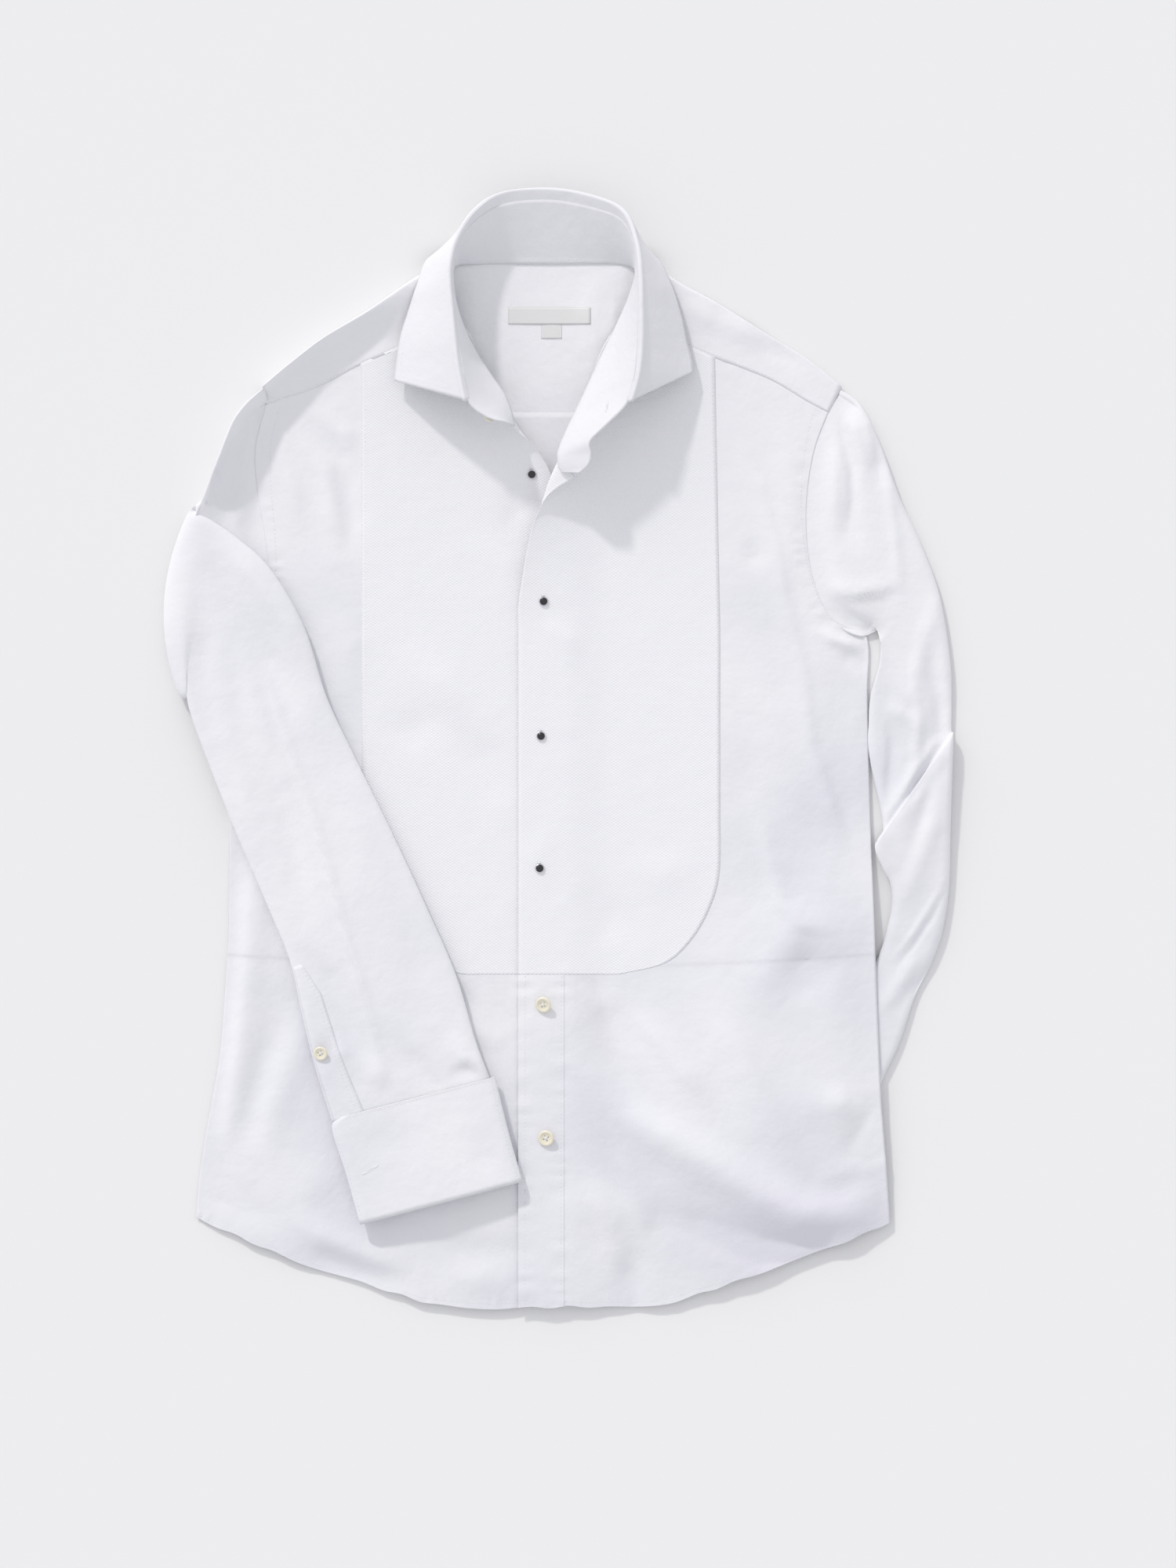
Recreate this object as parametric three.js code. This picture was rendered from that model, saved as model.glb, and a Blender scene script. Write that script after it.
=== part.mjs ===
// A long sleeve dress shirt laid flat: bib front, studs, double cuffs, open cutaway collar.
// Millimetres. X runs to the viewer's right, Y to the collar, Z up from the surface it lies on.
// The origin is at the middle of the shirt's outline, on that surface. Its own right is at minus X.
import * as THREE from 'three';

// Driving sizes
const WALL = 1.0; // one layer of cloth
const GAP = 0.35; // between layers, and at seams
const LAYER = WALL + GAP;
const STACK = 2 * LAYER + 0.4; // the under front and its bib, below the over front
const LOFT = 2.4; // how far the fronts stand off the back
const LOFT_REACH = 45; // from the side seam to the full loft
const CENTRE_X = -14; // the line of the studs
const PLACKET_WIDTH = 35;
const OVER_EDGE = CENTRE_X - PLACKET_WIDTH / 2;
const UNDER_EDGE = CENTRE_X + PLACKET_WIDTH / 2;
const UNDERARM_Y = 85;
const CUFF_WALL = 2.1; // a cuff is turned back on itself
const CUFF_HALF = 4.0; // half the height of a flattened cuff
const SLEEVE_HALF = 2.8; // half the height of a flattened sleeve
const BAND_WALL = 1.2; // the collar stand, two layers and its interlining
const HIDDEN_LIFT = 8.8; // how far the hidden cuff raises the body
const STUD = { rim: 3.6, bore: 3.0, rimHeight: 1.7, disc: 2.65, discHeight: 2.4 };
const BUTTON = { radius: 6.2, thick: 2.2, hole: 0.9, holeOut: 1.9 };
const SMALL_BUTTON = { radius: 5.4, thick: 2.0, hole: 0.8, holeOut: 1.6 };

// Colours and finishes
const CLOTH = { color: 0xf4f4f7, roughness: 0.85, metalness: 0 };
const BIB_CLOTH = { color: 0xf6f6f8, roughness: 0.8, metalness: 0 };
const LABEL_CLOTH = { color: 0xe9e9e7, roughness: 0.6, metalness: 0 };
const PEARL = { color: 0xefe6cf, roughness: 0.3, metalness: 0 };
const ONYX = { color: 0x101012, roughness: 0.2, metalness: 0.1 };
const SILVER = { color: 0xc9c9cc, roughness: 0.2, metalness: 1 };

// Small helpers
const mix = (a, b, t) => a + (b - a) * t;
const mixPoint = (a, b, t) => a.map((v, i) => mix(v, b[i], t));
const clamp = (t) => Math.min(1, Math.max(0, t));
const smooth = (t) => clamp(t) ** 2 * (3 - 2 * clamp(t));

// The value of a column at a key, straight between the rows of a table whose keys fall.
function read(rows, key, column, at) {
  let i = 0;
  while (i < rows.length - 2 && rows[i + 1][key] > at) i += 1;
  const [a, b] = [rows[i], rows[i + 1]];
  return mix(a[column], b[column], clamp((at - a[key]) / (b[key] - a[key])));
}

// A point at t along a list of points, by their number.
function alongList(points, t) {
  const at = clamp(t) * (points.length - 1);
  const i = Math.min(Math.floor(at), points.length - 2);
  return mixPoint(points[i], points[i + 1], at - i);
}

// A cubic curve in the plane through its two ends.
function bezier([p, q, r, s], t) {
  const u = 1 - t;
  return [0, 1].map((k) => u ** 3 * p[k] + 3 * u * u * t * q[k] + 3 * u * t * t * r[k] + t ** 3 * s[k]);
}

// Turns a list of closed faces into a mesh with a name and a material.
function mesh(name, points, faces, finish) {
  const geometry = new THREE.BufferGeometry();
  geometry.setAttribute('position', new THREE.Float32BufferAttribute(points.flat(), 3));
  geometry.setIndex(faces.flat());
  geometry.computeVertexNormals();
  const made = new THREE.Mesh(geometry, new THREE.MeshStandardMaterial(finish));
  made.name = name;
  return made;
}

// Swaps the faces' turn if the body they close would have a negative volume.
function facingOut(points, faces) {
  let volume = 0;
  for (const [a, b, c] of faces) {
    const [p, q, r] = [points[a], points[b], points[c]].map((v) => new THREE.Vector3(...v));
    volume += p.dot(q.cross(r));
  }
  return volume < 0 ? faces.map(([a, b, c]) => [a, c, b]) : faces;
}

// Two grids of the same size, joined round their rims into one closed body.
function closeGrids(name, lower, upper, finish) {
  const [rows, columns] = [lower.length, lower[0].length];
  const points = [...lower.flat(), ...upper.flat()];
  const low = (r, c) => r * columns + c;
  const high = (r, c) => rows * columns + low(r, c);
  const faces = [];
  for (let r = 0; r < rows - 1; r += 1) {
    for (let c = 0; c < columns - 1; c += 1) {
      faces.push([low(r, c), low(r + 1, c + 1), low(r, c + 1)]);
      faces.push([low(r, c), low(r + 1, c), low(r + 1, c + 1)]);
      faces.push([high(r, c), high(r, c + 1), high(r + 1, c + 1)]);
      faces.push([high(r, c), high(r + 1, c + 1), high(r + 1, c)]);
    }
  }
  const rim = [];
  for (let c = 0; c < columns - 1; c += 1) rim.push([0, c]);
  for (let r = 0; r < rows - 1; r += 1) rim.push([r, columns - 1]);
  for (let c = columns - 1; c > 0; c -= 1) rim.push([rows - 1, c]);
  for (let r = rows - 1; r > 0; r -= 1) rim.push([r, 0]);
  rim.forEach(([r, c], i) => {
    const [nr, nc] = rim[(i + 1) % rim.length];
    faces.push([low(r, c), low(nr, nc), high(nr, nc)], [low(r, c), high(nr, nc), high(r, c)]);
  });
  return mesh(name, points, facingOut(points, faces), finish);
}

const raised = (grid, by) => grid.map((row) => row.map(([x, y, z]) => [x, y, z + by]));
const part = (grid, r0, r1, c0, c1) => grid.slice(r0, r1 + 1).map((row) => row.slice(c0, c1 + 1));

// A flat-lying wall of cloth: its lower face is the grid.
const layer = (name, grid, finish) => closeGrids(name, grid, raised(grid, WALL), finish);

// A standing or folded wall: half its thickness to each side of the grid, along its normals.
function standing(name, grid, thick, finish) {
  const move = (side) => grid.map((row, r) => row.map((point, c) => {
    const here = (i, j) => new THREE.Vector3(...grid[i][j]);
    const down = here(Math.min(r + 1, grid.length - 1), c).sub(here(Math.max(r - 1, 0), c));
    const across = here(r, Math.min(c + 1, row.length - 1)).sub(here(r, Math.max(c - 1, 0)));
    const normal = down.cross(across).normalize();
    return new THREE.Vector3(...point).addScaledVector(normal, side * thick / 2).toArray();
  }));
  return closeGrids(name, move(-1), move(1), finish);
}

// Side seams, by height
const SIDES = [
  { y: 85, left: -249, right: 235 },
  { y: 14, left: -252, right: 236 },
  { y: -61, left: -252, right: 238 },
  { y: -140, left: -253, right: 241 },
  { y: -226, left: -259, right: 244 },
  { y: -268, left: -266, right: 246 },
  { y: -316, left: -275, right: 250 },
  { y: -359, left: -278, right: 253 },
];

// Rows of the body from the underarm to the hem: the height at the middle and at the sides,
// and half the width of the bib, which turns its lower corner between -94 and -173.
const ROWS = [
  { middle: 85, side: 85, bib: 137 },
  { middle: 42, side: 42, bib: 137 },
  { middle: 0, side: 0, bib: 137 },
  { middle: -48, side: -46, bib: 137 },
  { middle: -94, side: -90, bib: 137 },
  { middle: -118, side: -112, bib: 132 },
  { middle: -142, side: -134, bib: 120 },
  { middle: -160, side: -150, bib: 102 },
  { middle: -173, side: -162, bib: 66 },
  { middle: -215, side: -198, bib: 76 },
  { middle: -257, side: -232, bib: 90 },
  { middle: -300, side: -266, bib: 100 },
  { middle: -345, side: -300, bib: 106 },
  { middle: -390, side: -331, bib: 110 },
  { middle: -420, side: -353, bib: 112 },
  { middle: -428, side: -359, bib: 112 },
];
const BIB_END = 8; // the row where the bib ends and the lower placket starts

// The shirt tail: how far the hem has risen from its middle, 0, to its side seams, 1.
const hemRise = (x) => clamp((Math.abs(x + 10) - 70) / 200) ** 1.3;

// The columns of the body, from the left side seam to the right one.
function columnsOf(row) {
  const left = read(SIDES, 'y', 'left', row.side);
  const right = read(SIDES, 'y', 'right', row.side);
  const [bibLeft, bibRight] = [CENTRE_X - row.bib, CENTRE_X + row.bib];
  return [
    left, mix(left, bibLeft, 0.16), mix(left, bibLeft, 0.56), bibLeft,
    mix(bibLeft, OVER_EDGE, 0.36), mix(bibLeft, OVER_EDGE, 0.7), OVER_EDGE,
    UNDER_EDGE, mix(UNDER_EDGE, bibRight, 0.3), mix(UNDER_EDGE, bibRight, 0.64), bibRight,
    mix(bibRight, right, 0.44), mix(bibRight, right, 0.84), right,
  ];
}
const COLUMN = { left: 0, bibLeft: 3, overEdge: 6, underEdge: 7, bibRight: 10, right: 13 };
const bodyPlan = ROWS.map((row) => columnsOf(row).map((x) => [x, mix(row.middle, row.side, hemRise(x))]));

// The hidden forearm and cuff raise the body over this patch, which has round ends.
const HIDDEN = { from: [250, -178], to: [158, -292], reach: 78, fade: 55 };
function lift(x, y) {
  const [ax, ay] = HIDDEN.from;
  const [bx, by] = [HIDDEN.to[0] - ax, HIDDEN.to[1] - ay];
  const t = clamp(((x - ax) * bx + (y - ay) * by) / (bx * bx + by * by));
  const away = Math.hypot(x - ax - t * bx, y - ay - t * by);
  return HIDDEN_LIFT * smooth(1 - (away - HIDDEN.reach * mix(0.62, 1, t)) / HIDDEN.fade);
}

// The largest folds of the fronts: soft ridges from one end to the other.
const FOLDS = [
  { x0: 142, y0: -30, x1: 178, y1: -150, wide: 22, high: 0.9 },
  { x0: 165, y0: 180, x1: 186, y1: 100, wide: 18, high: 0.8 },
  { x0: -95, y0: 30, x1: -45, y1: -30, wide: 26, high: 0.7 },
  { x0: 60, y0: -300, x1: 150, y1: -365, wide: 28, high: 0.8 },
];
function foldHeight(x, y) {
  let high = 0;
  for (const f of FOLDS) {
    const [dx, dy] = [f.x1 - f.x0, f.y1 - f.y0];
    const t = clamp(((x - f.x0) * dx + (y - f.y0) * dy) / (dx * dx + dy * dy));
    const away = Math.hypot(x - f.x0 - t * dx, y - f.y0 - t * dy) / f.wide;
    high += f.high * Math.exp(-away * away);
  }
  return high;
}

// The lower face of a front at a place: off the back, and over the under front near the middle.
function frontZ(x, y, over) {
  const left = read(SIDES, 'y', 'left', y);
  const right = read(SIDES, 'y', 'right', y);
  const loft = LOFT * smooth(Math.min(x - left, right - x) / LOFT_REACH);
  const stack = over ? STACK * smooth(1 - (x - UNDER_EDGE) / STACK_REACH) : 0;
  return lift(x, y) + LAYER + loft + stack + foldHeight(x, y);
}

// Armhole seams, from the shoulder to the underarm
const ARMHOLE_RIGHT_SIDE = [[215, 270], [181, 236], [172, 92], [235, UNDERARM_Y]];
const ARMHOLE_LEFT_SIDE = [[-224, 263], [-256, 195], [-188, 128], [-249, UNDERARM_Y]];
const YOKE_MEETS_ARMHOLE = 0.1; // along the right armhole, where the yoke seam comes in

// The top of each front, column by column: along the neck seam to the yoke seam, then to the armhole.
const TOP_UNDER = [
  { x: -224, y: 263, z: 4.5 },
  { x: -205, y: 270, z: 5 },
  { x: -181, y: 279, z: 5.5 },
  { x: -152, y: 294, z: 6.5 },
  { x: -78, y: 322, z: 10 },
  { x: -61, y: 292, z: 15 },
  { x: -45, y: 269, z: 20 },
  { x: -37, y: 245, z: 22 },
];
const TOP_OVER = [
  { x: 14, y: 210, z: 29 },
  { x: 3, y: 224, z: 27 },
  { x: 17, y: 258, z: 20 },
  { x: 47, y: 322, z: 10 },
  { x: 119, y: 299, z: 6.5 },
  { x: 160, y: 283, z: 5.5 },
  { x: 189, y: 266, z: 5 },
  { x: 205.6, y: 256.7, z: 4.5 },
];

// The front edges above the underarm, from the neck down
const EDGE_UNDER = [[-37, 245], [-19, 230], [-4, 208], [2, 178], [UNDER_EDGE, 140], [UNDER_EDGE, UNDERARM_Y]];
const EDGE_OVER = [[14, 210], [-8, 193], [-20, 164], [-27, 138], [OVER_EDGE, 112], [OVER_EDGE, UNDERARM_Y]];
const UPPER_ROWS = 6;
const STACK_REACH = 36; // over which the over front settles past the under front's edge
const NECK_FALL = 3; // how fast the raised neck settles down the front

// A panel's plan between its top edge and the underarm. The curves of its two sides fade out
// towards the columns between which it stays straight.
function upperPlan(top, bottom, leftSide, rightSide, [stillFrom, stillTo]) {
  const rows = [];
  const last = top.length - 1;
  for (let r = 0; r < UPPER_ROWS; r += 1) {
    const w = r / UPPER_ROWS;
    const [left, right] = [leftSide(w), rightSide(w)];
    rows.push(top.map((p, c) => [0, 1].map((k) => {
      const onLeft = left[k] - mix(top[0][k], bottom[0][k], w);
      const onRight = right[k] - mix(top[last][k], bottom[last][k], w);
      const pullLeft = clamp((stillFrom - c) / stillFrom);
      const pullRight = clamp((c - stillTo) / (last - stillTo));
      return mix(p[k], bottom[c][k], w) + pullLeft * onLeft + pullRight * onRight;
    })));
  }
  return rows;
}

// A whole front: rows down from the neck and yoke seam to the hem, as a grid of its lower face.
function front(topRow, firstColumn, leftSide, rightSide, over) {
  const lower = bodyPlan.map((row) => row.slice(firstColumn, firstColumn + topRow.length));
  const top = topRow.map((p) => [p.x, p.y]);
  const still = (over ? COLUMN.bibRight : COLUMN.bibLeft) - firstColumn;
  const upper = upperPlan(top, lower[0], leftSide, rightSide, [still, still]);
  const upperZ = (x, y, r, c) => {
    const base = frontZ(x, y, over);
    return base + (topRow[c].z - base) * (1 - r / UPPER_ROWS) ** NECK_FALL;
  };
  return [
    ...upper.map((row, r) => row.map(([x, y], c) => [x, y, upperZ(x, y, r, c)])),
    ...lower.map((row) => row.map(([x, y]) => [x, y, frontZ(x, y, over)])),
  ];
}

const armhole = (curve, from) => (w) => bezier(curve, mix(from, 1, w));
const underFront = front(
  TOP_UNDER, COLUMN.left,
  armhole(ARMHOLE_LEFT_SIDE, 0), (w) => alongList(EDGE_UNDER, w), false,
);
const overFront = front(
  TOP_OVER, COLUMN.overEdge,
  (w) => alongList(EDGE_OVER, w), armhole(ARMHOLE_RIGHT_SIDE, YOKE_MEETS_ARMHOLE), true,
);
const bibRows = UPPER_ROWS + BIB_END;

// The bib halves and the lower placket are made from the fronts' points, moved out.
const bibUnder = raised(part(underFront, 0, bibRows, COLUMN.bibLeft, COLUMN.underEdge), LAYER);
const bibOver = raised(part(overFront, 0, bibRows, 0, COLUMN.bibRight - COLUMN.overEdge), LAYER);
const placketGrid = raised(part(overFront, bibRows, overFront.length - 1, 0, 1), LAYER);
placketGrid[0] = placketGrid[0].map(([x, y, z]) => [x, y - GAP, z]);

// The back: the body's own plan, with rows above the underarm up to the yoke seam.
const BACK_TOP_Y = 257;
const YOKE_BACK_Y = BACK_TOP_Y + GAP;
const HEM_SHORT = 2; // the back's hem stops this far inside the fronts'
const BACK_SEAM_AT = 0.03; // along the left armhole, where the back yoke seam comes in
function backGrid() {
  const left = armhole(ARMHOLE_LEFT_SIDE, BACK_SEAM_AT);
  const right = armhole(ARMHOLE_RIGHT_SIDE, YOKE_MEETS_ARMHOLE);
  const [bottom, width] = [bodyPlan[0], SIDES[0].right - SIDES[0].left];
  const top = bottom.map(([x]) => [mix(left(0)[0], right(0)[0], (x - SIDES[0].left) / width), BACK_TOP_Y]);
  const upper = upperPlan(top, bottom, left, right, [COLUMN.bibLeft, COLUMN.bibRight]);
  const insideHem = (y, r) => (r >= ROWS.length - 2 ? y + HEM_SHORT : y);
  return [
    ...upper.map((row) => row.map(([x, y]) => [x, y, 0])),
    ...bodyPlan.map((row, r) => row.map(([x, y]) => [x, insideHem(y, r), lift(x, y)])),
  ];
}

// The yoke: columns from the back seam, over the shoulder fold, to the front seam or the neck.
// Each row gives where it starts on the back seam, the fold, the end, and how high the fold stands.
const YOKE = [
  { back: -224, fold: [-226, 276], end: [-224.5, 264.5], high: 5.6 },
  { back: -200, fold: [-206, 293], end: [-204, 271.5], high: 6 },
  { back: -176, fold: [-180, 313], end: [-180, 280.5], high: 6.6 },
  { back: -150, fold: [-146, 334], end: [-151, 295.5], high: 7.6 },
  { back: -116, fold: [-112, 358], end: [-112, 311], high: 9.6 },
  { back: -96, fold: [-98, 366], end: [-80, 323], high: 11 },
  { back: -88, fold: [-91, 369], end: [-83, 345], high: 11 },
];
const YOKE_NECK = [
  { back: -76, end: [-84, 367], high: 5 },
  { back: -60, end: [-64, 370], high: 0 },
  { back: -30, end: [-32, 371], high: 0 },
  { back: 2, end: [2, 371], high: 0 },
  { back: 36, end: [42, 370.5], high: 0 },
  { back: 52, end: [62, 367], high: 5 },
];
const YOKE_RIGHT = [
  { back: 66, fold: [70, 368], end: [57, 345], high: 11 },
  { back: 76, fold: [79, 364], end: [49, 323.5], high: 11 },
  { back: 96, fold: [95, 354], end: [86, 312.5], high: 9.6 },
  { back: 126, fold: [121, 340], end: [119, 300.5], high: 7.6 },
  { back: 160, fold: [156, 318], end: [160, 284.5], high: 6.6 },
  { back: 186, fold: [190, 297], end: [189.5, 267.5], high: 6 },
  { back: 207, fold: [216, 276], end: [207, 259], high: 5.6 },
];
const YOKE_STEPS = 8;
const ARC = [-Math.PI / 6, Math.PI / 6]; // two points round the fold

function yokeColumn({ back: backX, fold, end, high }) {
  const back = [backX, YOKE_BACK_Y];
  const points = [];
  if (!fold) {
    for (let i = 0; i < YOKE_STEPS; i += 1) {
      const t = i / (YOKE_STEPS - 1);
      points.push([...mixPoint(back, end, t), WALL / 2 + high * smooth((t - 0.8) / 0.2)]);
    }
    return points;
  }
  const radius = high / 2;
  const length = Math.hypot(fold[0] - back[0], fold[1] - back[1]);
  const middle = mixPoint(back, fold, 1 - radius / length);
  points.push([...back, WALL / 2], [...mixPoint(back, middle, 0.5), WALL / 2], [...middle, WALL / 2]);
  for (const angle of ARC) {
    const out = (radius * Math.cos(angle)) / length;
    const plan = mixPoint(back, fold, 1 - radius / length + out);
    points.push([...plan, WALL / 2 + radius * (1 + Math.sin(angle))]);
  }
  for (const plan of [middle, mixPoint(middle, end, 0.5), end]) points.push([...plan, WALL / 2 + high]);
  return points;
}

function yoke() {
  const columns = [...YOKE, ...YOKE_NECK, ...YOKE_RIGHT].map(yokeColumn);
  return standing('yoke', columns, WALL, CLOTH);
}

// The collar, from the under end round the back to the over end: the seam at the neck and the
// stand's top edge. The leaf has its outer edge, and rises a little past the stand before it rolls.
const COLLAR = [
  { seam: [-35, 245, 25], top: [-45, 248, 43] },
  { seam: [-38, 257, 24], top: [-57, 252, 45] },
  { seam: [-44, 270, 22.5], top: [-69, 263, 46], edge: [-126, 280, 15], rise: 2 },
  { seam: [-53, 284, 19], top: [-74, 288, 45], edge: [-124, 298, 14], rise: 2.5 },
  { seam: [-64, 302, 15.5], top: [-77, 310, 44], edge: [-121, 315, 14], rise: 3 },
  { seam: [-74, 324, 13.2], top: [-80, 335, 42], edge: [-115, 334, 14], rise: 3 },
  { seam: [-80, 346, 13], top: [-82, 360, 40], edge: [-109, 352, 15], rise: 3 },
  { seam: [-80, 368, 8], top: [-78, 382, 34], edge: [-100, 374, 10], rise: 4 },
  { seam: [-63, 372, 2.5], top: [-64, 402, 26], edge: [-76, 381, 3], rise: 6 },
  { seam: [-38, 373, 1.2], top: [-42, 415, 20], edge: [-46, 381, 1.6], rise: 7 },
  { seam: [-6, 373, 1.2], top: [-7, 418, 18], edge: [-6, 382, 1.6], rise: 7 },
  { seam: [26, 373, 1.2], top: [26, 412, 20], edge: [28, 381, 1.6], rise: 7 },
  { seam: [46, 372, 2.5], top: [48, 402, 27], edge: [60, 381, 3], rise: 6 },
  { seam: [58, 366, 8], top: [58, 380, 35], edge: [76, 372, 10], rise: 4 },
  { seam: [54, 346, 13], top: [60, 356, 41], edge: [86, 352, 15], rise: 3 },
  { seam: [45, 324, 13.2], top: [60, 332, 43], edge: [93, 330, 14], rise: 3 },
  { seam: [34, 300, 15.5], top: [60, 308, 44], edge: [97, 311, 14], rise: 2.5 },
  { seam: [24, 277, 20], top: [58, 283, 45], edge: [101, 296, 14], rise: 2 },
  { seam: [16, 259, 24], top: [52, 262, 45], edge: [102, 287, 15], rise: 2 },
  { seam: [7, 241, 27.5], top: [37, 247, 45] },
  { seam: [1, 226, 30.5], top: [24, 234, 44] },
  { seam: [5, 219, 32], top: [24, 221, 43] },
];
const ROLL_RADIUS = 2.6;
const BAND_STEPS = 3;

function collarBand() {
  const grid = COLLAR.map(({ seam, top }) => {
    const column = [];
    for (let i = 0; i <= BAND_STEPS; i += 1) {
      const t = i / BAND_STEPS;
      column.push(mixPoint(seam, top, t));
    }
    return column;
  });
  return standing('collar_band', grid, BAND_WALL, CLOTH);
}

// One section of the leaf: up past the stand, over the roll, and down to the outer edge.
function leafColumn({ seam, top, edge, rise }) {
  const at = new THREE.Vector3(...top);
  const up = at.clone().sub(new THREE.Vector3(...seam)).normalize();
  const out = new THREE.Vector3(...edge).sub(at);
  out.addScaledVector(up, -out.dot(up)).normalize();
  const place = (along, aside) => at.clone().addScaledVector(up, along).addScaledVector(out, aside).toArray();
  const fallStart = place(rise, 2 * ROLL_RADIUS);
  const middle = mixPoint(fallStart, edge, 0.5);
  return [
    place(GAP + 0.1, 0), place(rise, 0), place(rise + ROLL_RADIUS, ROLL_RADIUS), fallStart,
    [middle[0], middle[1], middle[2] + 0.6], edge,
  ];
}
const collarLeaf = () => standing('collar_leaf', COLLAR.filter((s) => s.edge).map(leafColumn), WALL, CLOTH);

// Sleeves are flattened tubes. A section runs from its outer edge to its inner edge, and turns
// with the elbow's fold: at turn 0 the tube's own top is up, at 1 it is over on its other side.
const RING = 7; // points across a sleeve, on each side
function ring(section, half, inset) {
  const { outer, inner, bow, curve, fade, low, turn = 0 } = section;
  const angle = turn * Math.PI;
  const up = [Math.sin(angle), 0, Math.cos(angle)];
  const straight = (t) => [mix(outer[0], inner[0], t) + bow * 4 * t * (1 - t), mix(outer[1], inner[1], t)];
  const bent = (t) => {
    if (!fade) return straight(t);
    const on = bezier(curve, t);
    return straight(t).map((v, k) => v + fade * (on[k] - mix(curve[0][k], curve[3][k], t)));
  };
  const length = Math.hypot(inner[0] - outer[0], inner[1] - outer[1]);
  const points = [];
  for (const side of [1, -1]) {
    for (let i = 0; i < RING; i += 1) {
      const across = side > 0 ? i / (RING - 1) : 1 - i / (RING - 1);
      const t = mix(inset / length, 1 - inset / length, across);
      const bulge = 0.25 + 0.75 * Math.sin(Math.PI * mix(0.06, 0.94, across)) ** 0.5;
      const high = side * (half * bulge - inset);
      const [x, y] = bent(t);
      points.push([x + up[0] * high, y, low + half + up[2] * high]);
    }
  }
  return points;
}

// A tube with a wall and open ends, through its sections.
function tube(name, sections, wall, finish) {
  const outside = sections.map((s) => ring(s, s.half, 0));
  const inside = sections.map((s) => ring(s, s.half, wall));
  const count = outside[0].length;
  const points = [...outside.flat(), ...inside.flat()];
  const index = (skin, k, i) => (skin * sections.length + k) * count + (i % count);
  const faces = [];
  for (let i = 0; i < count; i += 1) {
    for (let k = 0; k < sections.length - 1; k += 1) {
      const [a, b, c, d] = [index(0, k, i), index(0, k, i + 1), index(0, k + 1, i + 1), index(0, k + 1, i)];
      faces.push([a, b, c], [a, c, d]);
      const [e, f, g, h] = [index(1, k, i), index(1, k, i + 1), index(1, k + 1, i + 1), index(1, k + 1, i)];
      faces.push([e, g, f], [e, h, g]);
    }
    const last = sections.length - 1;
    faces.push([index(0, 0, i), index(1, 0, i + 1), index(0, 0, i + 1)]);
    faces.push([index(0, 0, i), index(1, 0, i), index(1, 0, i + 1)]);
    faces.push([index(0, last, i), index(0, last, i + 1), index(1, last, i + 1)]);
    faces.push([index(0, last, i), index(1, last, i + 1), index(1, last, i)]);
  }
  return mesh(name, points, facingOut(points, faces), finish);
}

// The bent sleeve, from the armhole out to the elbow's fold and back over the front.
const BENT = [
  { outer: [-226.5, 274], inner: [-252, 84], bow: 0, fade: 1, low: 0, turn: 0 },
  { outer: [-246, 250], inner: [-262, 74], bow: 0, fade: 0.6, low: 0, turn: 0 },
  { outer: [-261, 220], inner: [-274, 56], bow: -2, fade: 0.25, low: 0, turn: 0 },
  { outer: [-272, 192], inner: [-284, 42], bow: -8, fade: 0, low: 0, turn: 0 },
  { outer: [-279, 183], inner: [-287, 38], bow: -15.2, fade: 0, low: 3.4, turn: 0.5 },
  { outer: [-272, 178], inner: [-284, 40], bow: -8, fade: 0, low: 6.8, turn: 1 },
  { outer: [-247, 161], inner: [-285, 52], bow: -5, fade: 0, low: 7, turn: 1 },
  { outer: [-221, 137], inner: [-285, 42], bow: -2, fade: 0, low: 7.6, turn: 1 },
  { outer: [-195, 93], inner: [-281, 24], bow: 0, fade: 0, low: 8, turn: 1 },
  { outer: [-178, 40], inner: [-267, -14], bow: 0, fade: 0, low: 8, turn: 1 },
  { outer: [-157, -5], inner: [-248, -62], bow: 0, fade: 0, low: 8, turn: 1 },
  { outer: [-128, -64], inner: [-224, -118], bow: 0, fade: 0, low: 8, turn: 1 },
  { outer: [-102, -120], inner: [-206, -162], bow: 0, fade: 0, low: 8, turn: 1 },
  { outer: [-79, -173], inner: [-197, -201], bow: 0, fade: 0, low: 8.2, turn: 1 },
  { outer: [-64, -223], inner: [-187, -242], bow: 0, fade: 0, low: 9.4, turn: 1 },
  { outer: [-52.5, -253], inner: [-173, -284], bow: 0, fade: 0, low: 11, turn: 1 },
].map((s) => ({ ...s, half: SLEEVE_HALF, curve: ARMHOLE_LEFT_SIDE }));
const BENT_CUFF = [
  { outer: [-52.3, -253.6], inner: [-172.8, -284.6], low: 10.2 },
  { outer: [-39, -292], inner: [-163, -325], low: 12 },
  { outer: [-28, -331], inner: [-152, -364], low: 14 },
].map((s) => ({ ...s, half: CUFF_HALF, bow: 0, turn: 1 }));

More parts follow.
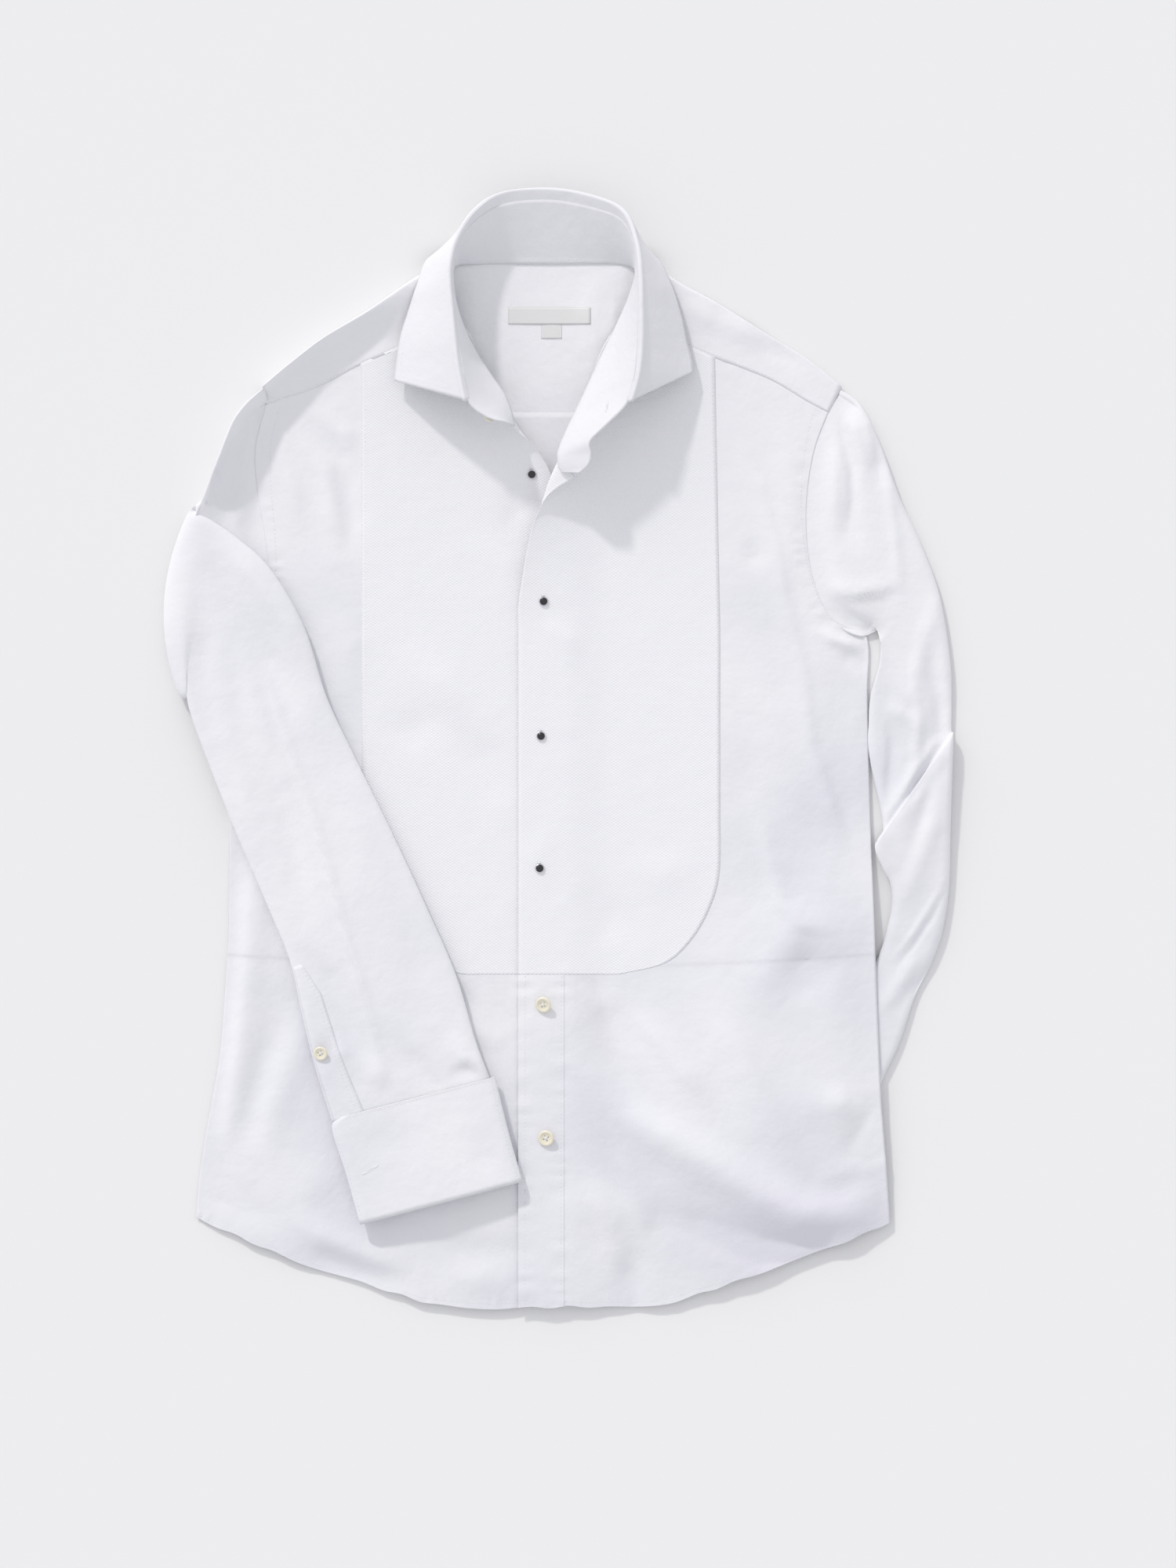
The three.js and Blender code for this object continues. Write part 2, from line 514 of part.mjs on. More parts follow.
// The other sleeve, down beside the body, over its elbow's tuck, and under the body.
const STRAIGHT = [
  { outer: [216.5, 270], inner: [238, 88], fade: 1, low: 0, half: 2.8 },
  { outer: [231, 258], inner: [244, 90], fade: 0.75, low: 0, half: 3 },
  { outer: [246, 231], inner: [248, 84], fade: 0.45, low: 0, half: 3 },
  { outer: [261, 190], inner: [246, 72], fade: 0.15, low: 0, half: 3 },
  { outer: [277, 155], inner: [243, 58], fade: 0, low: 0, half: 3 },
  { outer: [291, 116], inner: [240, 42], fade: 0, low: 0, half: 3 },
  { outer: [299, 66], inner: [246, 22], fade: 0, low: 0, half: 3 },
  { outer: [300, 30], inner: [250, -14], fade: 0, low: 0, half: 3 },
  { outer: [300, 14], inner: [244, -62], fade: 0, low: 0.4, half: 3 },
  { outer: [301, 8], inner: [241, -77], fade: 0, low: 4.4, half: 3 },
  { outer: [300, -28], inner: [247, -92], fade: 0, low: 3.4, half: 3 },
  { outer: [299, -64], inner: [253, -104], fade: 0, low: 2, half: 3 },
  { outer: [298, -106], inner: [254, -121], fade: 0, low: 1, half: 3 },
  { outer: [293, -140], inner: [250, -140], fade: 0, low: 0.4, half: 3 },
  { outer: [284, -166], inner: [246, -154], fade: 0, low: 0, half: 2.8 },
  { outer: [272, -190], inner: [238, -168], fade: 0, low: 0, half: 2.8 },
  { outer: [260, -226], inner: [214, -192], fade: 0, low: 0, half: 2.8 },
  { outer: [247, -254], inner: [176, -213], fade: 0, low: 0, half: 2.8 },
  { outer: [238, -279], inner: [127, -235], fade: 0, low: 0.6, half: 2.8 },
].map((s) => ({ ...s, bow: 0, curve: ARMHOLE_RIGHT_SIDE }));
const STRAIGHT_CUFF = [
  { outer: [237.5, -281.5], inner: [126, -237.5] },
  { outer: [224, -313], inner: [113, -268] },
  { outer: [212, -341], inner: [100, -296] },
].map((s) => ({ ...s, half: CUFF_HALF, bow: 0, low: 0 }));

// The wrist placket is made from the bent sleeve's points beside its inner edge, moved out.
function wristPlacket() {
  return BENT.slice(-4).map((s) => {
    const under = ring(s, s.half, 0).slice(RING, 2 * RING); // the ring's other side, now uppermost
    const near = under.slice(0, 3).map(([x, y, z]) => [x, y, z + GAP]);
    const [edge, first, second] = near;
    return [mixPoint(edge, first, 0.04), mixPoint(edge, first, 0.6), mixPoint(first, second, 0.25)];
  });
}
const wristGrid = wristPlacket();

// The height and tilt of a grid's upper face at a place, or nothing outside it.
function onGrid(grid, x, y) {
  for (let r = 0; r < grid.length - 1; r += 1) {
    for (let c = 0; c < grid[0].length - 1; c += 1) {
      const [a, b, d, e] = [grid[r][c], grid[r][c + 1], grid[r + 1][c + 1], grid[r + 1][c]];
      for (const [p, q, s] of [[a, b, d], [a, d, e]]) {
        const flat = [p, q, s].map((v) => new THREE.Vector3(v[0], v[1], 0));
        const weights = THREE.Triangle.getBarycoord(new THREE.Vector3(x, y, 0), ...flat, new THREE.Vector3());
        if (weights && weights.x > -1e-6 && weights.y > -1e-6 && weights.z > -1e-6) {
          const normal = new THREE.Triangle(...[p, q, s].map((v) => new THREE.Vector3(...v)));
          const tilt = normal.getNormal(new THREE.Vector3());
          const z = p[2] * weights.x + q[2] * weights.y + s[2] * weights.z;
          return { z, tilt: tilt.z < 0 ? tilt.negate() : tilt };
        }
      }
    }
  }
  throw new Error(`no cloth at ${x}, ${y}`);
}

// Sits a small thing on a face of cloth, square to it.
function seat(made, grid, x, y, radius) {
  const { z, tilt } = onGrid(grid, x, y);
  const slope = Math.hypot(tilt.x, tilt.y) / tilt.z;
  made.position.set(x, y, z + GAP + radius * slope * 0.1);
  made.quaternion.setFromUnitVectors(new THREE.Vector3(0, 0, 1), tilt);
  return made;
}

// A stud is a bright rim round a domed black disc, each a turned body.
function turned(name, profile, finish) {
  const geometry = new THREE.LatheGeometry(profile.map(([r, z]) => new THREE.Vector2(r, z)), 16);
  geometry.rotateX(Math.PI / 2);
  const made = new THREE.Mesh(geometry, new THREE.MeshStandardMaterial(finish));
  made.name = name;
  return made;
}
function studRim(name) {
  const { rim, bore, rimHeight } = STUD;
  const crest = [mix(bore, rim, 0.25), rimHeight];
  const profile = [[bore, 0], [rim, 0], [rim, rimHeight - 0.4], crest, [bore, rimHeight - 0.2], [bore, 0]];
  return turned(name, profile, SILVER);
}
function studDisc(name) {
  const { disc, discHeight } = STUD;
  const shoulder = [disc * 0.7, discHeight - 0.15];
  return turned(name, [[0, 0], [disc, 0], [disc, discHeight - 0.6], shoulder, [0, discHeight]], ONYX);
}

// A round button with four holes.
function button(name, { radius, thick, hole, holeOut }) {
  const outline = new THREE.Shape();
  outline.absarc(0, 0, radius, 0, 2 * Math.PI, false);
  for (const [sx, sy] of [[1, 1], [-1, 1], [-1, -1], [1, -1]]) {
    const opening = new THREE.Path();
    opening.absarc(sx * holeOut, sy * holeOut, hole, 0, 2 * Math.PI, true);
    outline.holes.push(opening);
  }
  const geometry = new THREE.ExtrudeGeometry(outline, { depth: thick, bevelEnabled: false, curveSegments: 8 });
  const made = new THREE.Mesh(geometry, new THREE.MeshStandardMaterial(PEARL));
  made.name = name;
  return made;
}

// The collar's button, on the outer face of the under end, just below the stand's top edge.
const COLLAR_BUTTON_UP = 0.72; // from the seam to the top edge
function collarButton() {
  const made = button('collar_button', SMALL_BUTTON);
  const [below, here, above] = COLLAR.slice(0, 3);
  const up = new THREE.Vector3(...here.top).sub(new THREE.Vector3(...here.seam)).normalize();
  const along = new THREE.Vector3(...above.seam).sub(new THREE.Vector3(...below.seam));
  const out = up.clone().cross(along).normalize();
  const place = new THREE.Vector3(...mixPoint(here.seam, here.top, COLLAR_BUTTON_UP));
  made.position.copy(place.addScaledVector(out, BAND_WALL / 2 + 4 * GAP)); // clear of the band's twist
  made.quaternion.setFromUnitVectors(new THREE.Vector3(0, 0, 1), out);
  return made;
}

// A small flat label on the inside of the back yoke.
function label(name, x0, x1, y0, y1) {
  const z = WALL + GAP;
  return layer(name, [[[x0, y0, z], [x1, y0, z]], [[x0, y1, z], [x1, y1, z]]], LABEL_CLOTH);
}

const STUDS = [
  { name: 'stud_1', x: -21, y: 209, on: raised(bibUnder, WALL) },
  { name: 'stud_2', x: -12, y: 112, on: raised(bibOver, WALL) },
  { name: 'stud_3', x: -14, y: 9, on: raised(bibOver, WALL) },
  { name: 'stud_4', x: -15, y: -92, on: raised(bibOver, WALL) },
];
const BUTTONS = [
  { name: 'front_button_1', x: -12, y: -196 },
  { name: 'front_button_2', x: -10, y: -298 },
];

const shirt = new THREE.Group();
shirt.add(layer('back', backGrid(), CLOTH));
shirt.add(yoke());
shirt.add(layer('front_right', underFront, CLOTH));
shirt.add(layer('front_left', overFront, CLOTH));
shirt.add(layer('bib_right', bibUnder, BIB_CLOTH));
shirt.add(layer('bib_left', bibOver, BIB_CLOTH));
shirt.add(layer('placket', placketGrid, CLOTH));
shirt.add(collarBand());
shirt.add(collarLeaf());
shirt.add(tube('sleeve_right', BENT, WALL, CLOTH));
shirt.add(layer('sleeve_placket', wristGrid, CLOTH));
shirt.add(tube('cuff_right', BENT_CUFF, CUFF_WALL, CLOTH));
shirt.add(tube('sleeve_left', STRAIGHT, WALL, CLOTH));
shirt.add(tube('cuff_left', STRAIGHT_CUFF, CUFF_WALL, CLOTH));
for (const { name, x, y, on } of STUDS) {
  shirt.add(seat(studRim(`${name}_rim`), on, x, y, STUD.rim));
  shirt.add(seat(studDisc(name), on, x, y, STUD.rim));
}
for (const { name, x, y } of BUTTONS) {
  shirt.add(seat(button(name, BUTTON), raised(placketGrid, WALL), x, y, BUTTON.radius));
}
shirt.add(seat(button('sleeve_button', SMALL_BUTTON), raised(wristGrid, WALL), -182, -233, SMALL_BUTTON.radius));
shirt.add(collarButton());
shirt.add(label('label', -39, 24, 324, 337));
shirt.add(label('size_tab', -14, 2, 313, 323.6));

export default shirt;
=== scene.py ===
# The looks of a long sleeve dress shirt laid flat: bib front, studs, double cuffs, open cutaway collar.
# Tables are in millimetres in the part's own frame, X to the viewer's right and Y to the collar.
import math
import bpy
import numpy as np
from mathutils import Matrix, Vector


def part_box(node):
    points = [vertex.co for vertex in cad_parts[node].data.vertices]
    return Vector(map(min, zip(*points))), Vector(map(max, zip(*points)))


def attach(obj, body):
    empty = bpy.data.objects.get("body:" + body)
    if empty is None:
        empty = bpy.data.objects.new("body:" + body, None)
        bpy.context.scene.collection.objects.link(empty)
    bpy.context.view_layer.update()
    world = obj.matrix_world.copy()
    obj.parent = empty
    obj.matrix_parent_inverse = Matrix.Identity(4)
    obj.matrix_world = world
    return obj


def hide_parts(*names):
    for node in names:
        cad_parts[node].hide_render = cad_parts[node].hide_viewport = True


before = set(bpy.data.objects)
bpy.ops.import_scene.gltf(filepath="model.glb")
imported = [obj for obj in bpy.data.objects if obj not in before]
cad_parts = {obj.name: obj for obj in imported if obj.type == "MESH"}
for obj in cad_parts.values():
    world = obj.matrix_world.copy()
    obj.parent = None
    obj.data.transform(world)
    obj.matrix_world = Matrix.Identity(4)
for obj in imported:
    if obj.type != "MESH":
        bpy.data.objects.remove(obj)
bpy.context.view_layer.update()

MM = 0.001
CLOTH = 0.45        # thickness of one layer of cloth
TURNED = 1.3        # thickness of a cuff or the collar stand
FRONT_LIFT = 1.5    # the fronts' lowest height over the surface
LOFT = 2.6          # how far the fronts stand off the back
LOFT_REACH = 40     # over this distance from a side seam
OVER_STEP = 2.2     # the over front above the under front
BIB_STEP = 0.2      # the bib or placket above its front
CENTRE_X = -14      # the studs' line, and the edges of the two fronts beside it
OVER_EDGE = CENTRE_X - 17.5
UNDER_EDGE = CENTRE_X + 17.5
STACK_REACH = 36    # how far from the under front's edge the over front comes down again
UNDERARM_Y = 85
RELIEF = 1.7        # how far the folds stand for each millimetre in their tables
SLEEVE_RELIEF = 1.2 # the same for the straight sleeve
HIDDEN_RISE = 6.4   # how far the hidden cuff raises the body
LYING = 0.4         # the middle of a sheet that lies on the surface or on the back
YOKE_ON_FRONT = 0.14    # the yoke's front edge above the fronts
SLEEVE_BY_FRONT = 0.12  # a sleeve's first loop below the front beside it
SHARP = math.radians(50)    # the placket's rim turns by more than this, and is sharp
FINE = 14   # steps between two rows or columns of a table


# Small helpers
def mix(a, b, t):
    return a + (b - a) * t


def smooth(t):
    t = np.clip(t, 0, 1)
    return t * t * (3 - 2 * t)


def curve(points, steps):
    """A smooth line through a list of points, with that many steps between two of them."""
    p = np.asarray(points, float)
    p = np.vstack([2 * p[:1] - p[1:2], p, 2 * p[-1:] - p[-2:-1]])
    out = []
    for i in range(1, len(p) - 2):
        a, b, c, d = p[i - 1:i + 3]
        for t in np.arange(steps) / steps:
            out.append(0.5 * (2 * b + (c - a) * t + (2 * a - 5 * b + 4 * c - d) * t ** 2
                              + (3 * b - a - 3 * c + d) * t ** 3))
    out.append(p[-2])
    return np.array(out)


def dense(grid, row_steps, column_steps):
    """A finer grid through a coarse one."""
    g = np.asarray(grid, float)
    g = curve(g.reshape(len(g), -1), row_steps).reshape(-1, g.shape[1], g.shape[2])
    g = g.transpose(1, 0, 2)
    g = curve(g.reshape(len(g), -1), column_steps).reshape(-1, g.shape[1], g.shape[2])
    return g.transpose(1, 0, 2)


def bezier(four, t):
    p, q, r, s = (np.array(v, float) for v in four)
    u = 1 - t
    return u ** 3 * p + 3 * u * u * t * q + 3 * u * t * t * r + t ** 3 * s


def along(points, t):
    at = min(max(t, 0), 1) * (len(points) - 1)
    i = min(int(at), len(points) - 2)
    return mix(np.array(points[i], float), np.array(points[i + 1], float), at - i)


def crease(wide, *path, lean=0, gain=RELIEF):
    """A soft ridge, or trough, along a path of (x, y, height), or (x, y) where its height is nothing. Wide
    is its reach to each side. Lean makes the side to the right of the path steeper, or at minus the one to
    its left. Gain multiplies its height."""
    path = [(*point, 0)[:3] for point in path]
    return dict(wide=wide, path=path, lean=lean, gain=gain)


def fold_height(x, y, folds):
    total = np.zeros_like(x)
    for fold in folds:
        path = np.array(fold["path"], float)
        best = np.full(x.shape, 1e9)
        height = np.zeros_like(x)
        side = np.zeros_like(x)
        for (ax, ay, ah), (bx, by, bh) in zip(path, path[1:]):
            dx, dy = bx - ax, by - ay
            t = np.clip(((x - ax) * dx + (y - ay) * dy) / (dx * dx + dy * dy), 0, 1)
            px, py = x - ax - t * dx, y - ay - t * dy
            away = np.hypot(px, py)
            nearer = away < best
            best = np.where(nearer, away, best)
            height = np.where(nearer, mix(ah, bh, t), height)
            side = np.where(nearer, np.sign(dx * py - dy * px), side)
        wide = fold["wide"] * (1 + fold["lean"] * side)
        total += fold["gain"] * height * np.exp(-(best / wide) ** 2)
    return total


def pucker_height(x, y, lines):
    """Small uneven waves across a seam line."""
    total = np.zeros_like(x)
    for line in lines:
        path = np.array(line["path"], float)
        best = np.full(x.shape, 1e9)
        place = np.zeros_like(x)
        start = 0.0
        for a, b in zip(path, path[1:]):
            d = b - a
            length = math.hypot(*d)
            t = np.clip(((x - a[0]) * d[0] + (y - a[1]) * d[1]) / length ** 2, 0, 1)
            away = np.hypot(x - a[0] - t * d[0], y - a[1] - t * d[1])
            nearer = away < best
            best = np.where(nearer, away, best)
            place = np.where(nearer, start + t * length, place)
            start += length
        turn = 2 * math.pi * place / line["pitch"]
        wave = np.sin(turn + 2.1 * np.sin(turn / 3.7)) * (0.6 + 0.4 * np.sin(turn / 5.3 + 1))
        total += line["high"] * wave * np.exp(-(best / line["reach"]) ** 2)
    return total


# Side seams: a height, and the seams' x there on the left and on the right
SIDES = [(-359, -278, 253), (-316, -275, 250), (-268, -266, 246), (-226, -259, 244), (-140, -253, 241),
         (-61, -252, 238), (14, -252, 236), (85, -249, 235)]
# Rows of the body: their y in the middle and at the sides, and half the width of the bib there
ROWS = [
    dict(middle=85, side=85, bib=137), dict(middle=42, side=42, bib=137), dict(middle=0, side=0, bib=137),
    dict(middle=-48, side=-46, bib=137), dict(middle=-96, side=-92, bib=136.5),
    dict(middle=-124, side=-117, bib=129), dict(middle=-148, side=-139, bib=115),
    dict(middle=-165, side=-154, bib=95), dict(middle=-173, side=-162, bib=60),
    dict(middle=-215, side=-198, bib=76), dict(middle=-257, side=-232, bib=90),
    dict(middle=-300, side=-266, bib=100), dict(middle=-345, side=-300, bib=106),
    dict(middle=-390, side=-331, bib=110), dict(middle=-420, side=-353, bib=112),
    dict(middle=-428, side=-359, bib=112),
]
BIB_END = 8         # the row on which the bib ends


def side_x(y, which):
    heights = [s[0] for s in SIDES]
    return np.interp(y, heights, [s[which] for s in SIDES])


def body_columns(row):
    left, right = side_x(row["side"], 1), side_x(row["side"], 2)
    bib_left, bib_right = CENTRE_X - row["bib"], CENTRE_X + row["bib"]
    return [left, mix(left, bib_left, 0.16), mix(left, bib_left, 0.56), bib_left,
            mix(bib_left, OVER_EDGE, 0.36), mix(bib_left, OVER_EDGE, 0.7), OVER_EDGE,
            UNDER_EDGE, mix(UNDER_EDGE, bib_right, 0.3), mix(UNDER_EDGE, bib_right, 0.64), bib_right,
            mix(bib_right, right, 0.44), mix(bib_right, right, 0.84), right]


def hem_rise(x):
    """How much of the way from the middle's y to the sides' y a row has come at x."""
    return float(np.clip((abs(x + 10) - 70) / 200, 0, 1) ** 1.3)


BODY = [[(x, mix(row["middle"], row["side"], hem_rise(x))) for x in body_columns(row)] for row in ROWS]
# Columns of the body at its left edge, the bib's two edges and the over front's edge
LEFT, BIB_LEFT, OVER, BIB_RIGHT = 0, 3, 6, 10

# The line of the hidden forearm and cuff, which raise the body
HIDDEN = [(250, -178), (158, -292)]


def hidden_lift(x, y):
    (ax, ay), (bx, by) = HIDDEN
    dx, dy = bx - ax, by - ay
    t = np.clip(((x - ax) * dx + (y - ay) * dy) / (dx * dx + dy * dy), 0, 1)
    away = np.hypot(x - ax - t * dx, y - ay - t * dy)
    return HIDDEN_RISE * smooth(1 - (away - 68 * mix(0.62, 1, t)) / 90)


# The shoulder and sleeve head on the left stand up in one long ridge, shared by the pieces that meet there
SHOULDER = [crease(15, (-92, 374), (-120, 356, 7), (-140, 342, 13), (-196, 308, 20), (-230, 280, 25),
                   (-252, 252, 26), (-264, 220, 20), (-274, 188, 8), gain=1)]

# Main folds of the two fronts
FRONT_FOLDS = [
    crease(7, (130, 228), (153, 200, .7), (164, 160, 1.1), (173, 112, 1.2), (186, 62, .9),
           (193, 0, 1.3), (209, -47, 1.6), (221, -80), lean=-.3),
    crease(9, (143, 160), (149, 147, -1.2), (158, 138)),
    crease(12, (178, 258), (176, 205, 1.0), (177, 150, 1.0), (180, 118)),
    crease(8, (146, -30), (155, -62, 1.0), (162, -89, 1.9), (170, -119, 1.8), (182, -134, 1.4),
           (214, -140), lean=.3),
    crease(20, (160, -168), (188, -172, -1.9), (215, -178), gain=2.6),
    crease(13, (196, -110), (176, -150, 1.4), (158, -178, 1.2), (150, -205)),
    crease(12, (104, -176), (137, -232, 1.9), (154, -268, 2.3), (170, -296, 2.0), (192, -343), lean=-.2),
    crease(16, (96, -180), (112, -225, -1.6), (128, -262, -1.6), (140, -290)),
    crease(7, (52, -196), (74, -222, 1.6), (96, -251, 1.9), (116, -275), lean=.2),
    crease(16, (8, -232), (30, -260, .8), (46, -280, 1.5), (85, -300, 2.4), (118, -319, 3.1),
           (154, -343, 3.5), (184, -356, 3.1), (216, -353, 1.8), (246, -342), lean=-.05, gain=3),
    crease(18, (166, -256), (192, -272, 1.6), (222, -278, 1.5), (250, -270), gain=1.6),
    crease(16, (2, -336), (22, -348, 1.2), (44, -358, 1.5), (74, -366), gain=2),
    crease(13, (70, -352), (112, -368, -2.4), (154, -384, -3.4), (200, -384, -2.5), (228, -370)),
    crease(9, (38, -284), (50, -318, 2.0), (60, -345, 1.8), (68, -368), lean=.3),
    crease(9, (20, -318), (34, -352, 1.3), (44, -386, 1.3), (48, -410)),
    crease(11, (60, -380), (54, -402, -1.6), (58, -424, -1.2)),
    crease(9, (206, -258), (215, -272, 1.6), (226, -286)),
    crease(16, (240, -262), (238, -300, -2.4), (214, -338, -2.0), (190, -350)),
    crease(10, (190, -335), (222, -322, 1.6), (250, -314, 1.0)),
    crease(12, (226, 70), (228, 20, .8), (231, -50, .9), (236, -110)),
    crease(14, (140, 40), (150, -10, -.7), (146, -60)),
    crease(18, (146, -124), (176, -138, 1.6), (206, -142, 1.4), (236, -134), gain=1.6),
    crease(4.5, (198, 92), (208, 84, 1.6), (222, 79, 2.0), (234, 74)),
    crease(5, (214, 70), (224, 66, -1.2), (236, 62)),
    crease(9, (10, -186), (30, -196, 1.0), (52, -188)),
    crease(12, (14, -212), (40, -238, -1.0), (66, -272, -1.0), (90, -290)),
    # on the left of the fronts' edges
    crease(10, (-234, -78), (-236, -120, 2.0), (-238, -169, 2.6), (-246, -240, 2.2),
           (-252, -290, 1.4), (-256, -322), lean=.2),
    crease(12, (-206, -180), (-222, -232, -1.8), (-236, -285, -1.8), (-240, -312)),
    crease(12, (-196, -196), (-204, -236, 1.4), (-222, -280, 1.4), (-228, -320)),
    crease(12, (-262, -296), (-262, -330, -1.8), (-240, -352, -1.8), (-214, -366)),
    crease(10, (-208, -354), (-180, -374, 2.2), (-140, -392, 2.0), (-110, -398)),
    crease(11, (-206, -384), (-176, -394, -2.0), (-140, -404, -1.8), (-110, -410)),
    crease(13, (-112, -366), (-76, -384, -1.7), (-34, -384, -1.2), (-10, -380)),
    crease(11, (-92, -404), (-60, -408, 1.3), (-34, -408)),
    crease(14, (-150, -300), (-186, -330, 1.1), (-204, -354)),
    crease(10, (-96, -192), (-72, -214, 1.1), (-50, -222, .8), (-34, -216)),
    crease(9, (-104, -182), (-82, -190, -.9), (-50, -196)),
    crease(9, (-206, 246), (-178, 210, 1.5), (-170, 170, 1.6), (-166, 136)),
    crease(10, (-196, 250), (-168, 222, -1.3), (-160, 180, -1.4), (-168, 140)),
    crease(7, (-186, 262), (-165, 240, 1.2), (-154, 210)),
    crease(8, (-214, 236), (-204, 200, 1.4), (-198, 160)),
    crease(12, (-176, 110), (-160, 80, .9), (-158, 40)),
    crease(14, (-120, 78), (-92, 50, 1.1), (-60, 8, .9), (-46, -30)),
    crease(16, (-88, 40), (-58, -6, -1.4), (-40, -44)),
    crease(14, (-140, 20), (-112, 14, -.9), (-84, 30)),
    crease(12, (-72, 160), (-40, 140, .7), (-34, 100)),
    crease(9, (-12, 96), (6, 82, .8), (12, 60)),
    crease(9, (-40, 200), (-34, 180, -.9), (-40, 160)),
    crease(14, (50, -84), (80, -96, .8), (112, -90)),
    crease(18, (10, -110), (40, -130, -.8), (70, -140)),
    crease(10, (-4, -60), (-18, -84, .5), (-8, -112)),
]

# Armhole seams, from the shoulder to the underarm
ARMHOLE_R = [(215, 270), (181, 236), (172, 92), (235, UNDERARM_Y)]
ARMHOLE_L = [(-224, 263), (-256, 195), (-188, 128), (-249, UNDERARM_Y)]
YOKE_MEETS = 0.1    # the share of the right armhole line along the end of the yoke
YOKE_PART = 0.07    # the share of a sleeve's seam along the end of the yoke


def inside(four, by):
    """A line beside an armhole seam, so far inside the body."""
    points = [bezier(four, t) for t in np.linspace(0, 0.97, 22)]
    return [(p[0] + by, p[1]) for p in points]


PUCKERS = [
    dict(pitch=11, reach=4.5, high=.42, path=inside(ARMHOLE_R, -7)),
    dict(pitch=12, reach=4.5, high=.34, path=inside(ARMHOLE_L, 7)),
    dict(pitch=15, reach=7, high=.62, path=[(OVER_EDGE + 4, -176), (OVER_EDGE + 5, -426)]),
    dict(pitch=13, reach=7, high=.5, path=[(UNDER_EDGE - 3, -176), (UNDER_EDGE - 3, -426)]),
    dict(pitch=9, reach=4, high=.3,
         path=[(-278, -357), (-224, -380), (-176, -401), (-140, -417), (-68, -422), (28, -425), (88, -421),
               (148, -403), (208, -379), (253, -355)]),
    dict(pitch=23, reach=5, high=.22, path=[(-185, 279), (-121, 307)]),
    dict(pitch=21, reach=5, high=.22, path=[(119, 299), (203, 257)]),
    dict(pitch=26, reach=5, high=.12, path=[(UNDER_EDGE - 1, 120), (UNDER_EDGE - 1, -170)]),
]


def front_height(x, y, over):
    loft = LOFT * smooth(np.minimum(x - side_x(y, 1), side_x(y, 2) - x) / LOFT_REACH)
    step = OVER_STEP * smooth(1 - (x - UNDER_EDGE) / STACK_REACH) if over else 0
    folds = fold_height(x, y, FRONT_FOLDS)
    rest = FRONT_LIFT + hidden_lift(x, y) + loft + step + pucker_height(x, y, PUCKERS)
    return np.maximum(rest + folds, FRONT_LIFT - .4 + hidden_lift(x, y) + step) + fold_height(x, y, SHOULDER)


# The top of each front: along the neck seam to the yoke seam, then to the armhole. Rise is the height
# over the front's own height there.
TOP_UNDER = [(-224, 263, 0), (-205, 270, .5), (-181, 279, 1), (-152, 294, 2), (-78, 322, 5.5),
             (-61, 292, 10.5), (-45, 269, 15.5), (-37, 245, 19)]
TOP_OVER = [(12, 206, 22.5), (3, 224, 21), (17, 258, 14), (47, 322, 5.5), (119, 299, 2), (160, 283, 1),
            (189, 266, .6), (205.6, 256.7, .3)]
EDGE_UNDER = [(-37, 245), (-19, 230), (-4, 208), (2, 178), (UNDER_EDGE, 140), (UNDER_EDGE, UNDERARM_Y)]
EDGE_OVER = [(12, 206), (-12, 190), (-22, 166), (-27, 138), (OVER_EDGE, 112), (OVER_EDGE, UNDERARM_Y)]
UPPER_ROWS = 6
NECK_FALL = 3       # how fast the neck's rise dies away on the under front, and on the over front
EDGE_FALL = 2.1


def front_grid(top, first, left_side, right_side, over, body=BODY):
    """A front as a fine grid: rows down from the neck and yoke seam to the last row of the body given."""
    last = len(top) - 1
    still = (BIB_RIGHT if over else BIB_LEFT) - first
    bottom = np.array(BODY[0][first:first + last + 1], float)
    plan, rises = [], []
    for r in range(UPPER_ROWS):
        w = r / UPPER_ROWS
        row = []
        for c, (x, y, _) in enumerate(top):
            p = mix(np.array([x, y], float), bottom[c], w)
            start, end = np.array(top[0][:2], float), np.array(top[last][:2], float)
            p = p + max(0, (still - c) / still) * (left_side(w) - mix(start, bottom[0], w))
            p = p + max(0, (c - still) / (last - still)) * (right_side(w) - mix(end, bottom[last], w))
            row.append(p)
        plan.append(row)
        falls = [EDGE_FALL if over and c < 2 else NECK_FALL for c in range(last + 1)]
        rises.append([t[2] * (1 - w) ** fall for t, fall in zip(top, falls)])
    plan += [[np.array(p, float) for p in row[first:first + last + 1]] for row in body]
    rises += [[0] * len(top)] * len(body)
    coarse = np.dstack([np.array(plan), np.array(rises)[:, :, None]])
    fine = dense(coarse, FINE, FINE)
    fine[:, :, 2] = np.maximum(fine[:, :, 2], 0) + front_height(fine[:, :, 0], fine[:, :, 1], over)
    if body is BODY:
        # the hem waves a little
        near_hem = smooth(1 - (len(fine) - 1 - np.arange(len(fine))) / (1.5 * FINE))[:, None]
        x = fine[:, :, 0]
        fine[:, :, 1] += near_hem * (.8 * np.sin(x / 7 + 1.6 * np.sin(x / 19)) + .7 * np.sin(x / 23 + 1))
    return fine


def under_grid(body):
    return front_grid(TOP_UNDER, LEFT, lambda w: bezier(ARMHOLE_L, w), lambda w: along(EDGE_UNDER, w),
                      False, body)


def over_grid(body):
    return front_grid(TOP_OVER, OVER, lambda w: along(EDGE_OVER, w),
                      lambda w: bezier(ARMHOLE_R, mix(YOKE_MEETS, 1, w)), True, body)


under_front, over_front = under_grid(BODY), over_grid(BODY)
bib_under = under_grid(BODY[:BIB_END + 1])[:, BIB_LEFT * FINE:]
bib_over = over_grid(BODY[:BIB_END + 1])[:, :(BIB_RIGHT - OVER) * FINE + 1]


